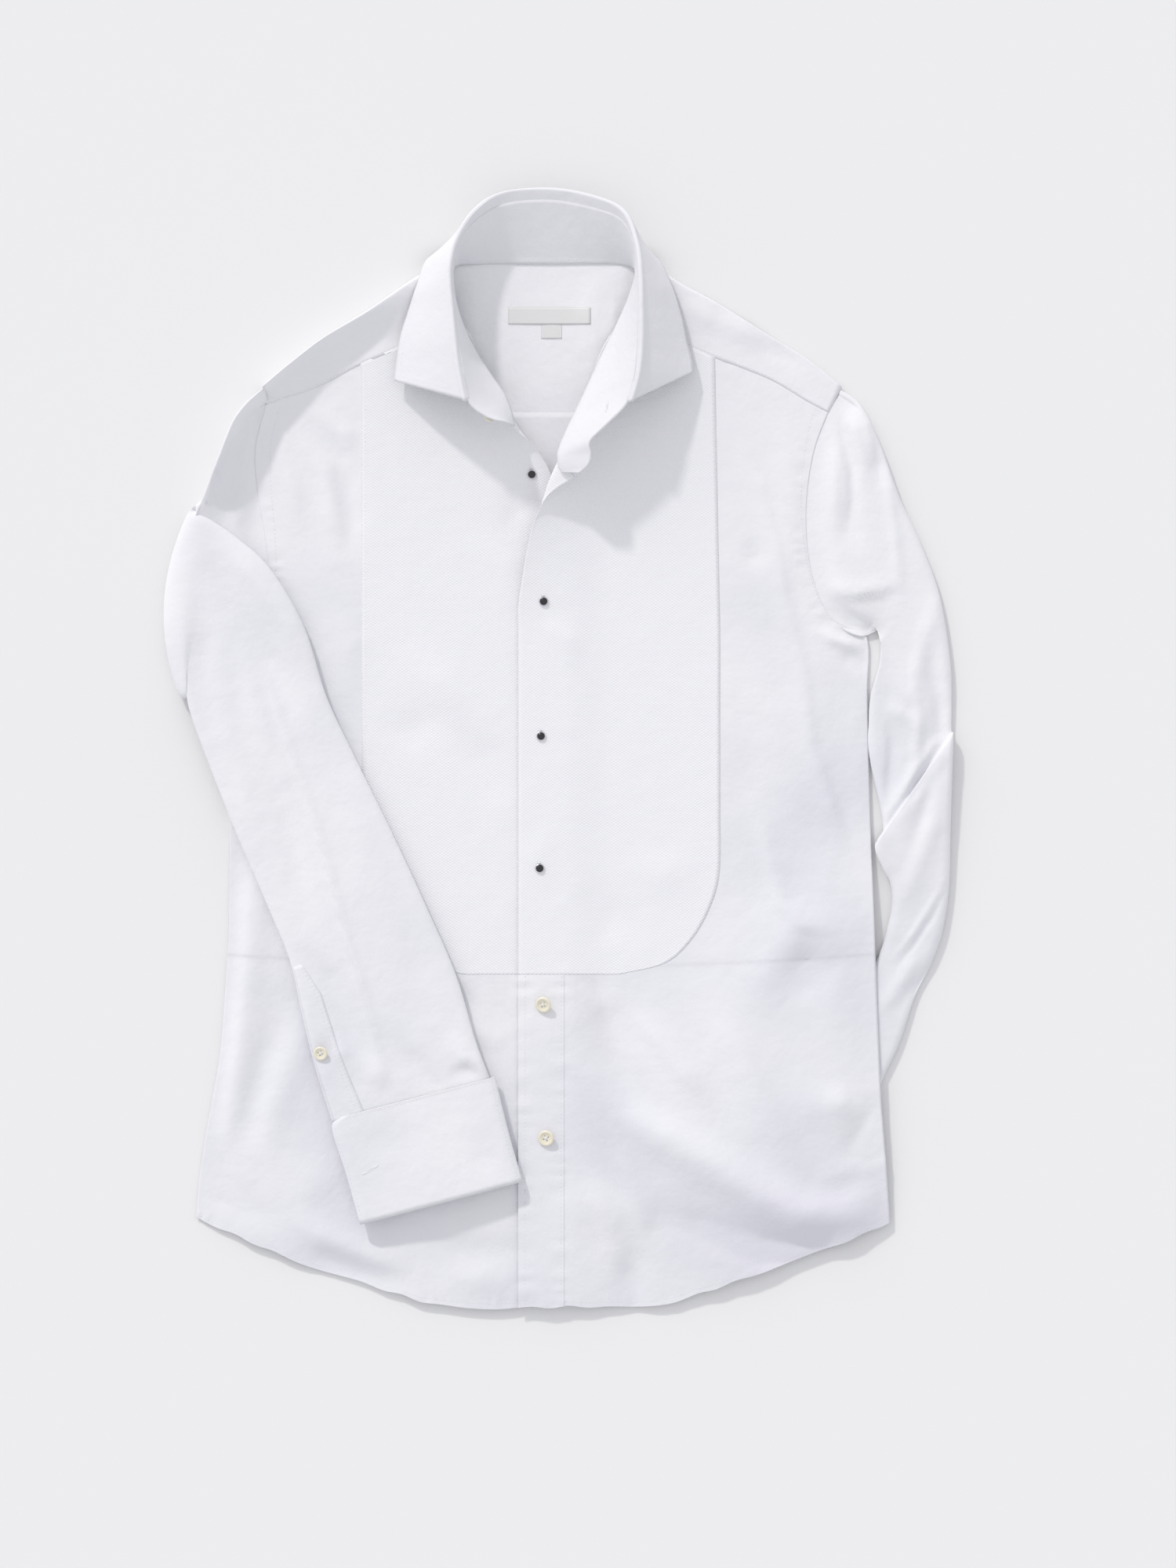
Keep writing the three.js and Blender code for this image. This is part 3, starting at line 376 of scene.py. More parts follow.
# Materials
def principled(name, colour, rough, **more):
    material = bpy.data.materials.new(name)
    material.use_nodes = True
    nodes, links = material.node_tree.nodes, material.node_tree.links
    shader = nodes["Principled BSDF"]
    shader.inputs["Base Color"].default_value = (*colour, 1)
    shader.inputs["Roughness"].default_value = rough
    for key, value in more.items():
        shader.inputs[key.replace("_", " ")].default_value = value
    return material, nodes, links, shader


def math_node(nodes, links, kind, *values):
    node = nodes.new("ShaderNodeMath")
    node.operation = kind
    for socket, value in zip(node.inputs, values):
        if isinstance(value, (int, float)):
            socket.default_value = value
        else:
            links.new(value, socket)
    return node.outputs[0]


def wave(nodes, links, value, pitch, phase=0.0):
    """A sine along a length in metres."""
    turned = math_node(nodes, links, "MULTIPLY_ADD", value, 2 * math.pi / (pitch * MM), phase)
    return math_node(nodes, links, "SINE", turned)


def cloth_material(name, colour, honeycomb):
    material, nodes, links, shader = principled(name, colour, 0.88, Sheen_Weight=0.12, Sheen_Roughness=0.5)
    place = nodes.new("ShaderNodeTexCoord")
    uv = nodes.new("ShaderNodeUVMap")
    uv.uv_map = "cut"
    split = nodes.new("ShaderNodeSeparateXYZ")
    links.new(uv.outputs[0], split.inputs[0])
    u, v = split.outputs[0], split.outputs[1]
    if honeycomb:
        # diamonds 3.2 mm by 2.1 mm, with painted shade a little darker in the grooves between them
        a = math_node(nodes, links, "MULTIPLY", u, math.pi / (3.2 * MM))
        b = math_node(nodes, links, "MULTIPLY", v, math.pi / (2.1 * MM))
        one = math_node(nodes, links, "SINE", math_node(nodes, links, "ADD", a, b))
        two = math_node(nodes, links, "SINE", math_node(nodes, links, "SUBTRACT", a, b))
        cells = math_node(nodes, links, "MULTIPLY", one, two)
        pits = math_node(nodes, links, "POWER", math_node(nodes, links, "ABSOLUTE", cells), 0.7)
        height, distance = pits, 0.22 * MM
        # painted shade: the grooves, where the pits' height is lowest, take the darker colour
        groove_shade = nodes.new("ShaderNodeMix")
        groove_shade.data_type = "RGBA"
        groove_shade.inputs["A"].default_value = (*[c * 0.975 for c in colour], 1)
        groove_shade.inputs["B"].default_value = (*colour, 1)
        links.new(math_node(nodes, links, "MULTIPLY", pits, 1.6), groove_shade.inputs["Factor"])
        links.new(groove_shade.outputs["Result"], shader.inputs["Base Color"])
    else:
        # painted shade: broad soft lilac patches that stand in for the shade of the folds, stronger towards
        # the hem, on a plain weave with threads 0.4 mm apart
        shade_patches = nodes.new("ShaderNodeTexNoise")
        shade_patches.inputs["Scale"].default_value = 7
        shade_patches.inputs["Detail"].default_value = 1.5
        links.new(place.outputs["Object"], shade_patches.inputs["Vector"])
        shade_amount = math_node(nodes, links, "MULTIPLY_ADD", shade_patches.outputs[0], 2.6, -1.1)
        # painted shade: more of the lilac lower down the shirt, less towards the collar
        ground = nodes.new("ShaderNodeSeparateXYZ")
        links.new(place.outputs["Object"], ground.inputs[0])
        shade_amount = math_node(nodes, links, "MULTIPLY_ADD", ground.outputs[1], -1.1, shade_amount)
        shade_amount.node.use_clamp = True
        shade_tint = nodes.new("ShaderNodeMix")
        shade_tint.data_type = "RGBA"
        shade_tint.inputs["A"].default_value = (*colour, 1)
        shade_tint.inputs["B"].default_value = (*SHADE_LILAC, 1)
        links.new(shade_amount, shade_tint.inputs["Factor"])
        links.new(shade_tint.outputs["Result"], shader.inputs["Base Color"])
        height = math_node(nodes, links, "MULTIPLY", wave(nodes, links, u, 0.8), wave(nodes, links, v, 0.8))
        distance = 0.03 * MM
    weave = nodes.new("ShaderNodeBump")
    weave.inputs["Distance"].default_value = distance
    weave.inputs["Strength"].default_value = 0.8
    links.new(height, weave.inputs["Height"])
    # soft crumple left by wear and pressing
    noise = nodes.new("ShaderNodeTexNoise")
    noise.inputs["Scale"].default_value = 55
    noise.inputs["Detail"].default_value = 3
    noise.inputs["Roughness"].default_value = 0.55
    links.new(place.outputs["Object"], noise.inputs["Vector"])
    crumple = nodes.new("ShaderNodeBump")
    crumple.inputs["Distance"].default_value = 2.2 * MM
    crumple.inputs["Strength"].default_value = 0.25 if honeycomb else 0.5
    links.new(noise.outputs[0], crumple.inputs["Height"])
    links.new(weave.outputs[0], crumple.inputs["Normal"])
    links.new(crumple.outputs[0], shader.inputs["Normal"])
    return material


def plain_material(name, colour, rough, **more):
    """An even finish with a very fine grain."""
    material, nodes, links, shader = principled(name, colour, rough, **more)
    noise = nodes.new("ShaderNodeTexNoise")
    noise.inputs["Scale"].default_value = 900
    place = nodes.new("ShaderNodeTexCoord")
    links.new(place.outputs["Object"], noise.inputs["Vector"])
    bump = nodes.new("ShaderNodeBump")
    bump.inputs["Distance"].default_value = 0.02 * MM
    bump.inputs["Strength"].default_value = 0.3
    links.new(noise.outputs[0], bump.inputs["Height"])
    links.new(bump.outputs[0], shader.inputs["Normal"])
    return material


WHITE = (0.83, 0.83, 0.85)
# painted shade: the cool colour of shaded folds, painted into the poplin in patches
SHADE_LILAC = (0.72, 0.715, 0.77)
poplin = cloth_material("poplin", WHITE, False)
# painted shade: the collar's poplin is painted a little darker than the shirt's, to tone down its brightly
# lit faces
shaded_collar_poplin = cloth_material("shaded_collar_poplin", (0.79, 0.79, 0.815), False)
pique = cloth_material("pique", (0.865, 0.865, 0.885), True)
ribbon = plain_material("ribbon", (0.73, 0.73, 0.72), 0.45, Sheen_Weight=0.3)
thread = plain_material("thread", (0.78, 0.78, 0.81), 0.8)
pearl = plain_material("pearl", (0.82, 0.77, 0.62), 0.22, Coat_Weight=0.4)
onyx = plain_material("onyx", (0.006, 0.006, 0.008), 0.12, Coat_Weight=0.5)
silver = plain_material("silver", (0.72, 0.72, 0.74), 0.16, Metallic=1.0)


# Meshes
def add_object(name, points_mm, faces, material, uv=None):
    data = bpy.data.meshes.new(name)
    data.from_pydata((np.asarray(points_mm) * MM).tolist(), [], faces)
    data.polygons.foreach_set("use_smooth", [True] * len(data.polygons))
    if uv is not None:
        layer = data.uv_layers.new(name="cut")
        corners = np.zeros(len(data.loops), int)
        data.loops.foreach_get("vertex_index", corners)
        layer.data.foreach_set("uv", (np.asarray(uv)[corners] * MM).ravel())
    data.validate()
    data.update()
    made = bpy.data.objects.new(name, data)
    bpy.context.scene.collection.objects.link(made)
    data.materials.append(material)
    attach(made, "root")
    return made


def grid_normals(g):
    down = np.gradient(g, axis=0)
    across = np.gradient(g, axis=1)
    n = np.cross(down, across)
    n /= np.maximum(np.linalg.norm(n, axis=2, keepdims=True), 1e-9)
    return n


def lengths(g):
    """Distances along the cloth, as the cut's two coordinates."""
    step_u = np.linalg.norm(np.diff(g, axis=1), axis=2)
    step_v = np.linalg.norm(np.diff(g, axis=0), axis=2)
    u = np.pad(np.cumsum(step_u, axis=1), ((0, 0), (1, 0)))
    v = np.pad(np.cumsum(step_v, axis=0), ((1, 0), (0, 0)))
    return np.dstack([u - u[:, u.shape[1] // 2:u.shape[1] // 2 + 1], v])


def shell(name, g, thick, material, slot, plan_uv=False):
    """A thin closed sheet on a grid, half its thickness to each side."""
    rows, columns = g.shape[:2]
    n = grid_normals(g) * thick / 2
    points = np.vstack([(g + n).reshape(-1, 3), (g - n).reshape(-1, 3)])
    cut = g[:, :, :2] if plan_uv else lengths(g)
    uv = np.vstack([cut.reshape(-1, 2)] * 2)
    faces = []
    half = rows * columns
    for r in range(rows - 1):
        for c in range(columns - 1):
            a = r * columns + c
            b, d, e = a + 1, a + columns + 1, a + columns
            faces.append((a, e, d, b))
            faces.append((half + a, half + b, half + d, half + e))
    rim = [(0, c) for c in range(columns - 1)] + [(r, columns - 1) for r in range(rows - 1)]
    rim += [(rows - 1, c) for c in range(columns - 1, 0, -1)] + [(r, 0) for r in range(rows - 1, 0, -1)]
    ids = [r * columns + c for r, c in rim]
    for i, a in enumerate(ids):
        b = ids[(i + 1) % len(ids)]
        faces.append((a, b, half + b, half + a))
    return add_object(name, points, faces, material, uv)


def tube(name, loops, thick, material, slot):
    """A thin closed sleeve through its loops, open at both ends, with the wall inside them."""
    sections, count = loops.shape[:2]
    along_sections = np.gradient(loops, axis=0)
    around = (np.roll(loops, -1, axis=1) - np.roll(loops, 1, axis=1)) / 2
    n = np.cross(around, along_sections)
    n /= np.maximum(np.linalg.norm(n, axis=2, keepdims=True), 1e-9)
    centre = loops.mean(axis=1, keepdims=True)
    outward = np.sign(((loops - centre) * n).sum(axis=2).mean())
    inner = loops - n * outward * thick
    points = np.vstack([loops.reshape(-1, 3), inner.reshape(-1, 3)])
    step = np.linalg.norm(np.roll(loops, -1, axis=1) - loops, axis=2)
    u = np.cumsum(step, axis=1) - step
    v = np.pad(np.cumsum(np.linalg.norm(np.diff(loops, axis=0), axis=2), axis=0), ((1, 0), (0, 0)))
    v = np.repeat(v.mean(axis=1, keepdims=True), count, axis=1)
    uv = np.vstack([np.dstack([u, v]).reshape(-1, 2)] * 2)
    faces = []
    skin = sections * count
    for k in range(sections - 1):
        for i in range(count):
            j = (i + 1) % count
            a, b, d, e = k * count + i, k * count + j, (k + 1) * count + j, (k + 1) * count + i
            faces.append((a, b, d, e))
            faces.append((skin + a, skin + e, skin + d, skin + b))
    for i in range(count):
        j = (i + 1) % count
        end = (sections - 1) * count
        faces.append((i, skin + i, skin + j, j))
        faces.append((end + i, end + j, skin + end + j, skin + end + i))
    return add_object(name, points, faces, material, uv)


def nearest_height(g, x, y):
    return g[:, :, 2].ravel()[np.argmin((g[:, :, 0] - x) ** 2 + (g[:, :, 1] - y) ** 2)]


def raise_by(g, by):
    out = g.copy()
    out[:, :, 2] += by
    return out


pieces = {}


def cloth_piece(node, g, thick=CLOTH, material=poplin, slot="shirt_cloth", form=shell, **more):
    """A piece of cloth that takes the place of the part's node of that name."""
    pieces[node] = form("look_" + node, g, thick, material, slot, **more)


# Body pieces
bib_rows = (UPPER_ROWS + BIB_END) * FINE
cloth_piece("front_right", under_front)
cloth_piece("front_left", over_front)
bib_under, bib_over = raise_by(bib_under, BIB_STEP), raise_by(bib_over, BIB_STEP)
placket_grid = raise_by(over_front[bib_rows:, :FINE + 1], BIB_STEP * (1 + np.arange(FINE + 1) / FINE))
placket_grid[0, :, 1] -= .3
cloth_piece("bib_right", bib_under, material=pique, slot="bib_cloth", plan_uv=True)
cloth_piece("bib_left", bib_over, material=pique, slot="bib_cloth", plan_uv=True)
cloth_piece("placket", placket_grid)
pieces["placket"].data.set_sharp_from_angle(angle=SHARP)

# The back, seen inside the open neck
BACK_TOP_Y = 257
SEAM_LAP = 1.2      # how far a piece reaches under the one it is sewn to
BACK_FOLDS = [crease(5, (-30, 150), (-16, 205, 1.0), (-12, 250)),
              crease(6, (20, 170), (6, 215, .9), (10, 252))]


def back_grid():
    def left(w):
        return bezier(ARMHOLE_L, mix(.03, 1, w))

    def right(w):
        return bezier(ARMHOLE_R, mix(YOKE_MEETS, 1, w))

    bottom = np.array(BODY[0], float)
    last = len(bottom) - 1
    rows = []
    for r in range(UPPER_ROWS):
        w = r / UPPER_ROWS
        share = (bottom[:, 0] - bottom[0, 0]) / (bottom[-1, 0] - bottom[0, 0])
        top = [(mix(left(0)[0], right(0)[0], across), BACK_TOP_Y) for across in share]
        row = []
        for c, p in enumerate(top):
            q = mix(np.array(p, float), bottom[c], w)
            near_left, near_right = (BIB_LEFT - c) / BIB_LEFT, (c - BIB_RIGHT) / (last - BIB_RIGHT)
            q = q + max(0, near_left) * (left(w) - mix(np.array(top[0]), bottom[0], w))
            q = q + max(0, near_right) * (right(w) - mix(np.array(top[-1]), bottom[-1], w))
            row.append(q)
        rows.append(row)
    for r, row in enumerate(BODY):
        # its hem ends 2 mm short of the fronts' hem
        short = 2 if r >= len(BODY) - 2 else 0
        rows.append([np.array(p, float) + (0, short) for p in row])
    fine = dense(np.array(rows), 6, 6)
    x, y = fine[:, :, 0], fine[:, :, 1]
    z = .3 + hidden_lift(x, y) + fold_height(x, y, BACK_FOLDS) + .4 * smooth((y - BACK_TOP_Y + 10) / 9)
    return np.dstack([x, y, z])


cloth_piece("back", back_grid())

# The yoke: from the back seam over the shoulder fold to the front seam or the neck
YOKE = [
    dict(back=-224, fold=(-226, 276), end=(-224.5, 264.5), low=3.8),
    dict(back=-200, fold=(-206, 293), end=(-204, 271.5), low=4),
    dict(back=-176, fold=(-180, 313), end=(-180, 280.5), low=4.6),
    dict(back=-150, fold=(-146, 334), end=(-151, 295.5), low=6.6),
    dict(back=-116, fold=(-112, 358), end=(-112, 311), low=8.6),
    dict(back=-96, fold=(-98, 366), end=(-80, 323), low=11),
    dict(back=-88, fold=(-91, 369), end=(-83, 345), low=12),
    dict(back=-76, end=(-84, 368), low=5),
    dict(back=-60, end=(-64, 373), low=0),
    dict(back=-30, end=(-32, 374.5), low=0),
    dict(back=2, end=(2, 374.5), low=0),
    dict(back=36, end=(42, 374), low=0),
    dict(back=52, end=(62, 369), low=5),
    dict(back=66, fold=(70, 368), end=(57, 345), low=12),
    dict(back=76, fold=(79, 364), end=(49, 323.5), low=11),
    dict(back=96, fold=(95, 354), end=(86, 312.5), low=9),
    dict(back=126, fold=(121, 340), end=(119, 300.5), low=7),
    dict(back=160, fold=(156, 318), end=(160, 284.5), low=5),
    dict(back=186, fold=(190, 297), end=(189.5, 267.5), low=4.4),
    dict(back=207, fold=(216, 276), end=(207, 259), low=3.8),
]
YOKE_STEPS = 7
YOKE_TUCK = 2.6     # how far the yoke reaches past its seams
YOKE_FOLDS = [
    crease(7, (96, 340), (110, 330, 1.2), (124, 318)),
    crease(9, (120, 326), (142, 318, 1.4), (158, 306)),
    crease(8, (84, 345), (88, 326, 1.0), (84, 312)),
    crease(8, (150, 304), (170, 300, -1.0), (186, 286)),
    crease(10, (-110, 340), (-130, 322, 1.4), (-150, 304)),
    crease(8, (-40, 366), (-44, 335, .9), (-38, 300, .8), (-44, 270)),
    crease(9, (30, 366), (24, 330, 1.2), (30, 296, 1.0), (22, 262)),
    crease(6, (44, 350), (40, 320, 1.2), (32, 300)),
]


def yoke_column(back, end, low, fold=None):
    """Nine points: three on the back, three round the fold and three over the front. At the neck, where
    there is no fold, they all lie on the back up to the seam."""
    back = np.array([back, BACK_TOP_Y - SEAM_LAP], float)
    end = np.array(end, float)
    if fold is None:
        places = np.linspace(0, 1, 9)
        return [(*mix(back, end, t), LYING + low * float(smooth((t - .8) / .2))) for t in places]
    fold = np.array(fold, float)
    radius = low / 2
    reach = np.linalg.norm(fold - back)
    middle = mix(back, fold, 1 - radius / reach)
    points = [(*back, LYING), (*mix(back, middle, .5), LYING), (*middle, LYING)]
    for angle in (-math.pi / 4, 0, math.pi / 4):
        out = mix(back, fold, 1 - radius / reach + radius * math.cos(angle) / reach)
        points.append((*out, LYING + radius * (1 + math.sin(angle))))
    tucked = end + (end - middle) / np.linalg.norm(end - middle) * YOKE_TUCK
    return points + [(*middle, LYING + low), (*mix(middle, end, .5), LYING + low), (*tucked, low)]


yoke_grid = dense([yoke_column(**row) for row in YOKE], YOKE_STEPS, YOKE_STEPS)
column_place = np.arange(yoke_grid.shape[1]) / YOKE_STEPS
upper = smooth((column_place - 2.4) / 2.2)[None, :]
x, y = yoke_grid[:, :, 0], yoke_grid[:, :, 1]
yoke_grid[:, :, 2] += fold_height(x, y, YOKE_FOLDS) * np.where(yoke_grid[:, :, 2] > 1.5, upper, 1)
yoke_grid[:, :, 2] += fold_height(x, y, SHOULDER) * upper
yoke_grid[:, :, 2] = np.maximum(yoke_grid[:, :, 2], LYING)
# its front edge lies on the fronts
row_place = np.arange(yoke_grid.shape[0]) / YOKE_STEPS
on_front = np.interp(row_place, [5, 6, 13, 14], [1, 0, 0, 1])
near_edge = smooth((column_place - 6.4) / 1.4)
for r in np.nonzero(on_front)[0]:
    front = under_front if row_place[r] < 10 else over_front
    for c in np.nonzero(near_edge)[0]:
        rest = nearest_height(front, *yoke_grid[r, c, :2]) + YOKE_ON_FRONT
        yoke_grid[r, c, 2] = mix(yoke_grid[r, c, 2], rest, on_front[r] * near_edge[c])
cloth_piece("yoke", yoke_grid, plan_uv=True)

# The collar, from the under end round the back to the over end: neck seam, top of the stand, the leaf's
# outer edge and how far it rises past the stand before it rolls
COLLAR = [
    dict(seam=(-35, 245, 25), top=(-45, 248, 43)), dict(seam=(-38, 257, 24), top=(-57, 252, 45)),
    dict(seam=(-44, 270, 22.5), top=(-69, 263, 46), edge=(-126, 280, 15), rise=2),
    dict(seam=(-53, 284, 19), top=(-74, 288, 45), edge=(-124, 298, 14), rise=2.5),
    dict(seam=(-64, 302, 15.5), top=(-77, 310, 44), edge=(-121, 315, 14), rise=3),
    dict(seam=(-74, 324, 13.2), top=(-80, 335, 42), edge=(-115, 334, 14), rise=3),
    dict(seam=(-80, 346, 13), top=(-82, 360, 40), edge=(-109, 352, 15), rise=3),
    dict(seam=(-80, 368, 8), top=(-78, 382, 34), edge=(-100, 374, 10), rise=4),
    dict(seam=(-63, 372, 2.5), top=(-64, 402, 26), edge=(-76, 381, 3), rise=6),
    dict(seam=(-38, 373, 1.2), top=(-42, 415, 20), edge=(-46, 381, 1.6), rise=7),
    dict(seam=(-6, 373, 1.2), top=(-7, 418, 18), edge=(-6, 382, 1.6), rise=7),
    dict(seam=(26, 373, 1.2), top=(26, 412, 20), edge=(28, 381, 1.6), rise=7),
    dict(seam=(46, 372, 2.5), top=(48, 402, 27), edge=(60, 381, 3), rise=6),
    dict(seam=(58, 366, 8), top=(58, 380, 35), edge=(76, 372, 10), rise=4),
    dict(seam=(54, 346, 13), top=(60, 356, 41), edge=(86, 352, 15), rise=3),
    dict(seam=(45, 324, 13.2), top=(60, 332, 43), edge=(93, 330, 14), rise=3),
    dict(seam=(34, 300, 15.5), top=(60, 308, 44), edge=(97, 311, 14), rise=2.5),
    dict(seam=(24, 277, 20), top=(58, 283, 45), edge=(101, 296, 14), rise=2),
    dict(seam=(16, 259, 24), top=(52, 262, 45), edge=(102, 287, 15), rise=2),
    dict(seam=(7, 241, 27.5), top=(37, 246, 45)), dict(seam=(1, 227, 29.5), top=(24, 233, 44)),
    dict(seam=(.5, 220, 30.5), top=(24.5, 223, 43)), dict(seam=(1, 214, 30), top=(22.5, 215, 42)),
    dict(seam=(3, 209.5, 29.5), top=(15, 208.5, 38)),
]
ROLL = 1.5          # radius of the leaf's roll over the stand
LEAF = 0.9          # thickness of the leaf


def band_column(seam, top):
    return [mix(np.array(seam, float), np.array(top, float), t) for t in (-.07, .33, .67, 1)]


band_grid = dense([band_column(row["seam"], row["top"]) for row in COLLAR], 8, 6)
band_grid[:, :, 2] = np.maximum(band_grid[:, :, 2], TURNED / 2 + .3)
cloth_piece("collar_band", band_grid, TURNED, shaded_collar_poplin)


def leaf_column(seam, top, edge, rise):
    seam, at, edge = (np.array(p, float) for p in (seam, top, edge))
    up = (at - seam) / np.linalg.norm(at - seam)
    out = edge - at
    out = out - up * out.dot(up)
    out = out / np.linalg.norm(out)
    turns = [at + up * (rise + ROLL * math.sin(a)) + out * ROLL * (1 - math.cos(a))
             for a in (0, math.pi / 4, math.pi / 2, 3 * math.pi / 4, math.pi)]
    start = turns[-1]
    fall = [mix(start, edge, t) + np.array([0, 0, 1.6 * math.sin(math.pi * t)]) for t in (.33, .67, 1)]
    return [at - up * 1.2 + out * (.1 if rise > 5 else -.12)] + turns + fall


leaf_grid = dense([leaf_column(**row) for row in COLLAR if "edge" in row], 8, 6)
cloth_piece("collar_leaf", leaf_grid, LEAF, shaded_collar_poplin)

# Sleeves: flattened tubes. A section runs from its outer edge to its inner edge. Low is the height it
# lies at, half is half its height, bend takes its middle aside, fade is its share of the armhole line's form,
# and at turn 1 it lies on its other side.
RING = 116   # points round a section


def section(outer, inner, low, half, bend=0, fade=0, turn=0):
    return [*outer, *inner, low, half, bend, fade, turn]


BENT = [
    section((-226, 276), (-249, 85), 0, 2, fade=1),
    section((-247, 252), (-262, 74), 0, 3.6, fade=.6),
    section((-261, 220), (-274, 56), 0, 3.6, bend=-2, fade=.25),
    section((-272, 192), (-284, 42), 0, 3.4, bend=-8),
    section((-279, 183), (-287, 38), 3.6, 3.4, bend=-15, turn=.5),
    section((-272, 178), (-284, 40), 7, 3.2, bend=-8, turn=1),
    section((-247, 161), (-285, 52), 7.4, 3, bend=-5, turn=1),
    section((-221, 137), (-285, 42), 7.8, 3, bend=-2, turn=1),
    section((-195, 93), (-281, 24), 8, 3, turn=1),
    section((-178, 40), (-267, -14), 8, 3, turn=1),
    section((-157, -5), (-248, -62), 8, 3, turn=1),
    section((-128, -64), (-224, -118), 8, 3, turn=1),
    section((-102, -120), (-206, -162), 8, 3, turn=1),
    section((-79, -173), (-197, -201), 8.2, 3, turn=1),
    section((-64, -223), (-187, -242), 8.2, 3, turn=1),
    section((-52, -255), (-173, -287), 7.8, 2.7, turn=1),
]
BENT_CUFF = [
    section((-49, -251), (-168, -282), 7.8, 3.8, turn=1),
    section((-47.5, -257), (-173.5, -291), 8, 3.8, turn=1),
    section((-39, -292), (-163, -325), 8.6, 3.8, turn=1),
    section((-28, -331), (-152, -364), 9.4, 3.8, turn=1),
]
STRAIGHT = [
    section((216, 275), (235, 85), 0, 2, fade=1),
    section((232, 260), (244, 90), 0, 3.6, fade=.75),
    section((246, 231), (248, 84), 0, 3.8, fade=.45),
    section((261, 190), (246, 72), 0, 3.8, fade=.15),
    section((277, 155), (243, 58), 0, 3.8),
    section((291, 116), (238, 40), 0, 3.8),
    section((299, 66), (236.5, 20), 0, 3.8),
    section((300, 34), (237, -6), 0, 3.6),
    section((300, 13), (247.5, -60), .3, 3),
    section((301, 9), (241, -75), 6.2, 3.2),
    section((300, -28), (247, -92), 4.4, 3.6),
    section((299, -64), (253, -104), 2.6, 3.6),
    section((298, -106), (254, -121), 1, 3.6),
    section((293, -140), (250, -140), .4, 3.4),
    section((284, -166), (246, -154), 0, 2.8),
    section((272, -190), (238, -168), 0, 2.8),
    section((260, -226), (214, -192), 0, 2.8),
    section((247, -254), (176, -213), 0, 2.8),
    section((238, -279), (127, -235), .6, 2.8),
]
STRAIGHT_CUFF = [
    section((237.5, -281.5), (126, -237.5), 0, 2.9),
    section((224, -313), (113, -268), 0, 2.9),
    section((212, -341), (100, -296), 0, 2.9),
]

BENT_FOLDS = [
    # the upper arm, under the fold
    crease(7, (-252, 240), (-262, 210, 2), (-270, 186)),
    crease(6, (-240, 250), (-236, 226, -2.4), (-250, 196, -2.2), (-262, 184)),
    crease(6, (-232, 244), (-226, 214, 2.4), (-238, 186, 1.6), (-250, 166)),
    crease(6, (-222, 216), (-222, 190, -2), (-232, 160)),
]
FOREARM_FOLDS = [
    crease(10, (-268, 150), (-250, 110, -2.0), (-222, 66, -2.4), (-196, 24)),
    crease(8, (-262, 164), (-238, 136, 1.5), (-206, 92, 1.8), (-186, 50)),
    crease(3.2, (-229, 66), (-221, 44, .6), (-206, -2, 1.0), (-188, -52, 1.1), (-164, -142, 1.2),
           (-146, -202, 1.2), (-137, -244, .6), (-134, -258), lean=.4),
    crease(9, (-244, 84), (-232, 30, 1.3), (-214, -22, 1.5), (-204, -60)),
    crease(9, (-226, 20), (-214, -34, -1.5), (-200, -90, -1.3), (-190, -140)),
    crease(10, (-262, 60), (-254, 10, 1.2), (-236, -50, 1.0), (-222, -90)),
    crease(9, (-268, 108), (-272, 70, -1.4), (-268, 40)),
    crease(13, (-150, -60), (-128, -110, -1.1), (-108, -166, -1.1), (-96, -210)),
    crease(11, (-176, -6), (-152, -56, 1.0), (-126, -120, 1.0), (-104, -170)),
    crease(9, (-200, -150), (-176, -176, -1.7), (-158, -214, -1.5), (-138, -246)),
    crease(8, (-134, -214), (-110, -240, -1.8), (-96, -258, -1.6), (-92, -268)),
    crease(7, (-150, -232), (-139, -250, 1.2), (-132, -262)),
    crease(7, (-84, -214), (-72, -236, 1.6), (-60, -244, 1.0), (-54, -240)),
    crease(5, (-86, -250), (-70, -246, -1.4), (-58, -250)),
    crease(6, (-172, -216), (-166, -232, 1.1), (-160, -252)),
    crease(7, (-188, -226), (-178, -230, -.9), (-170, -236)),
]
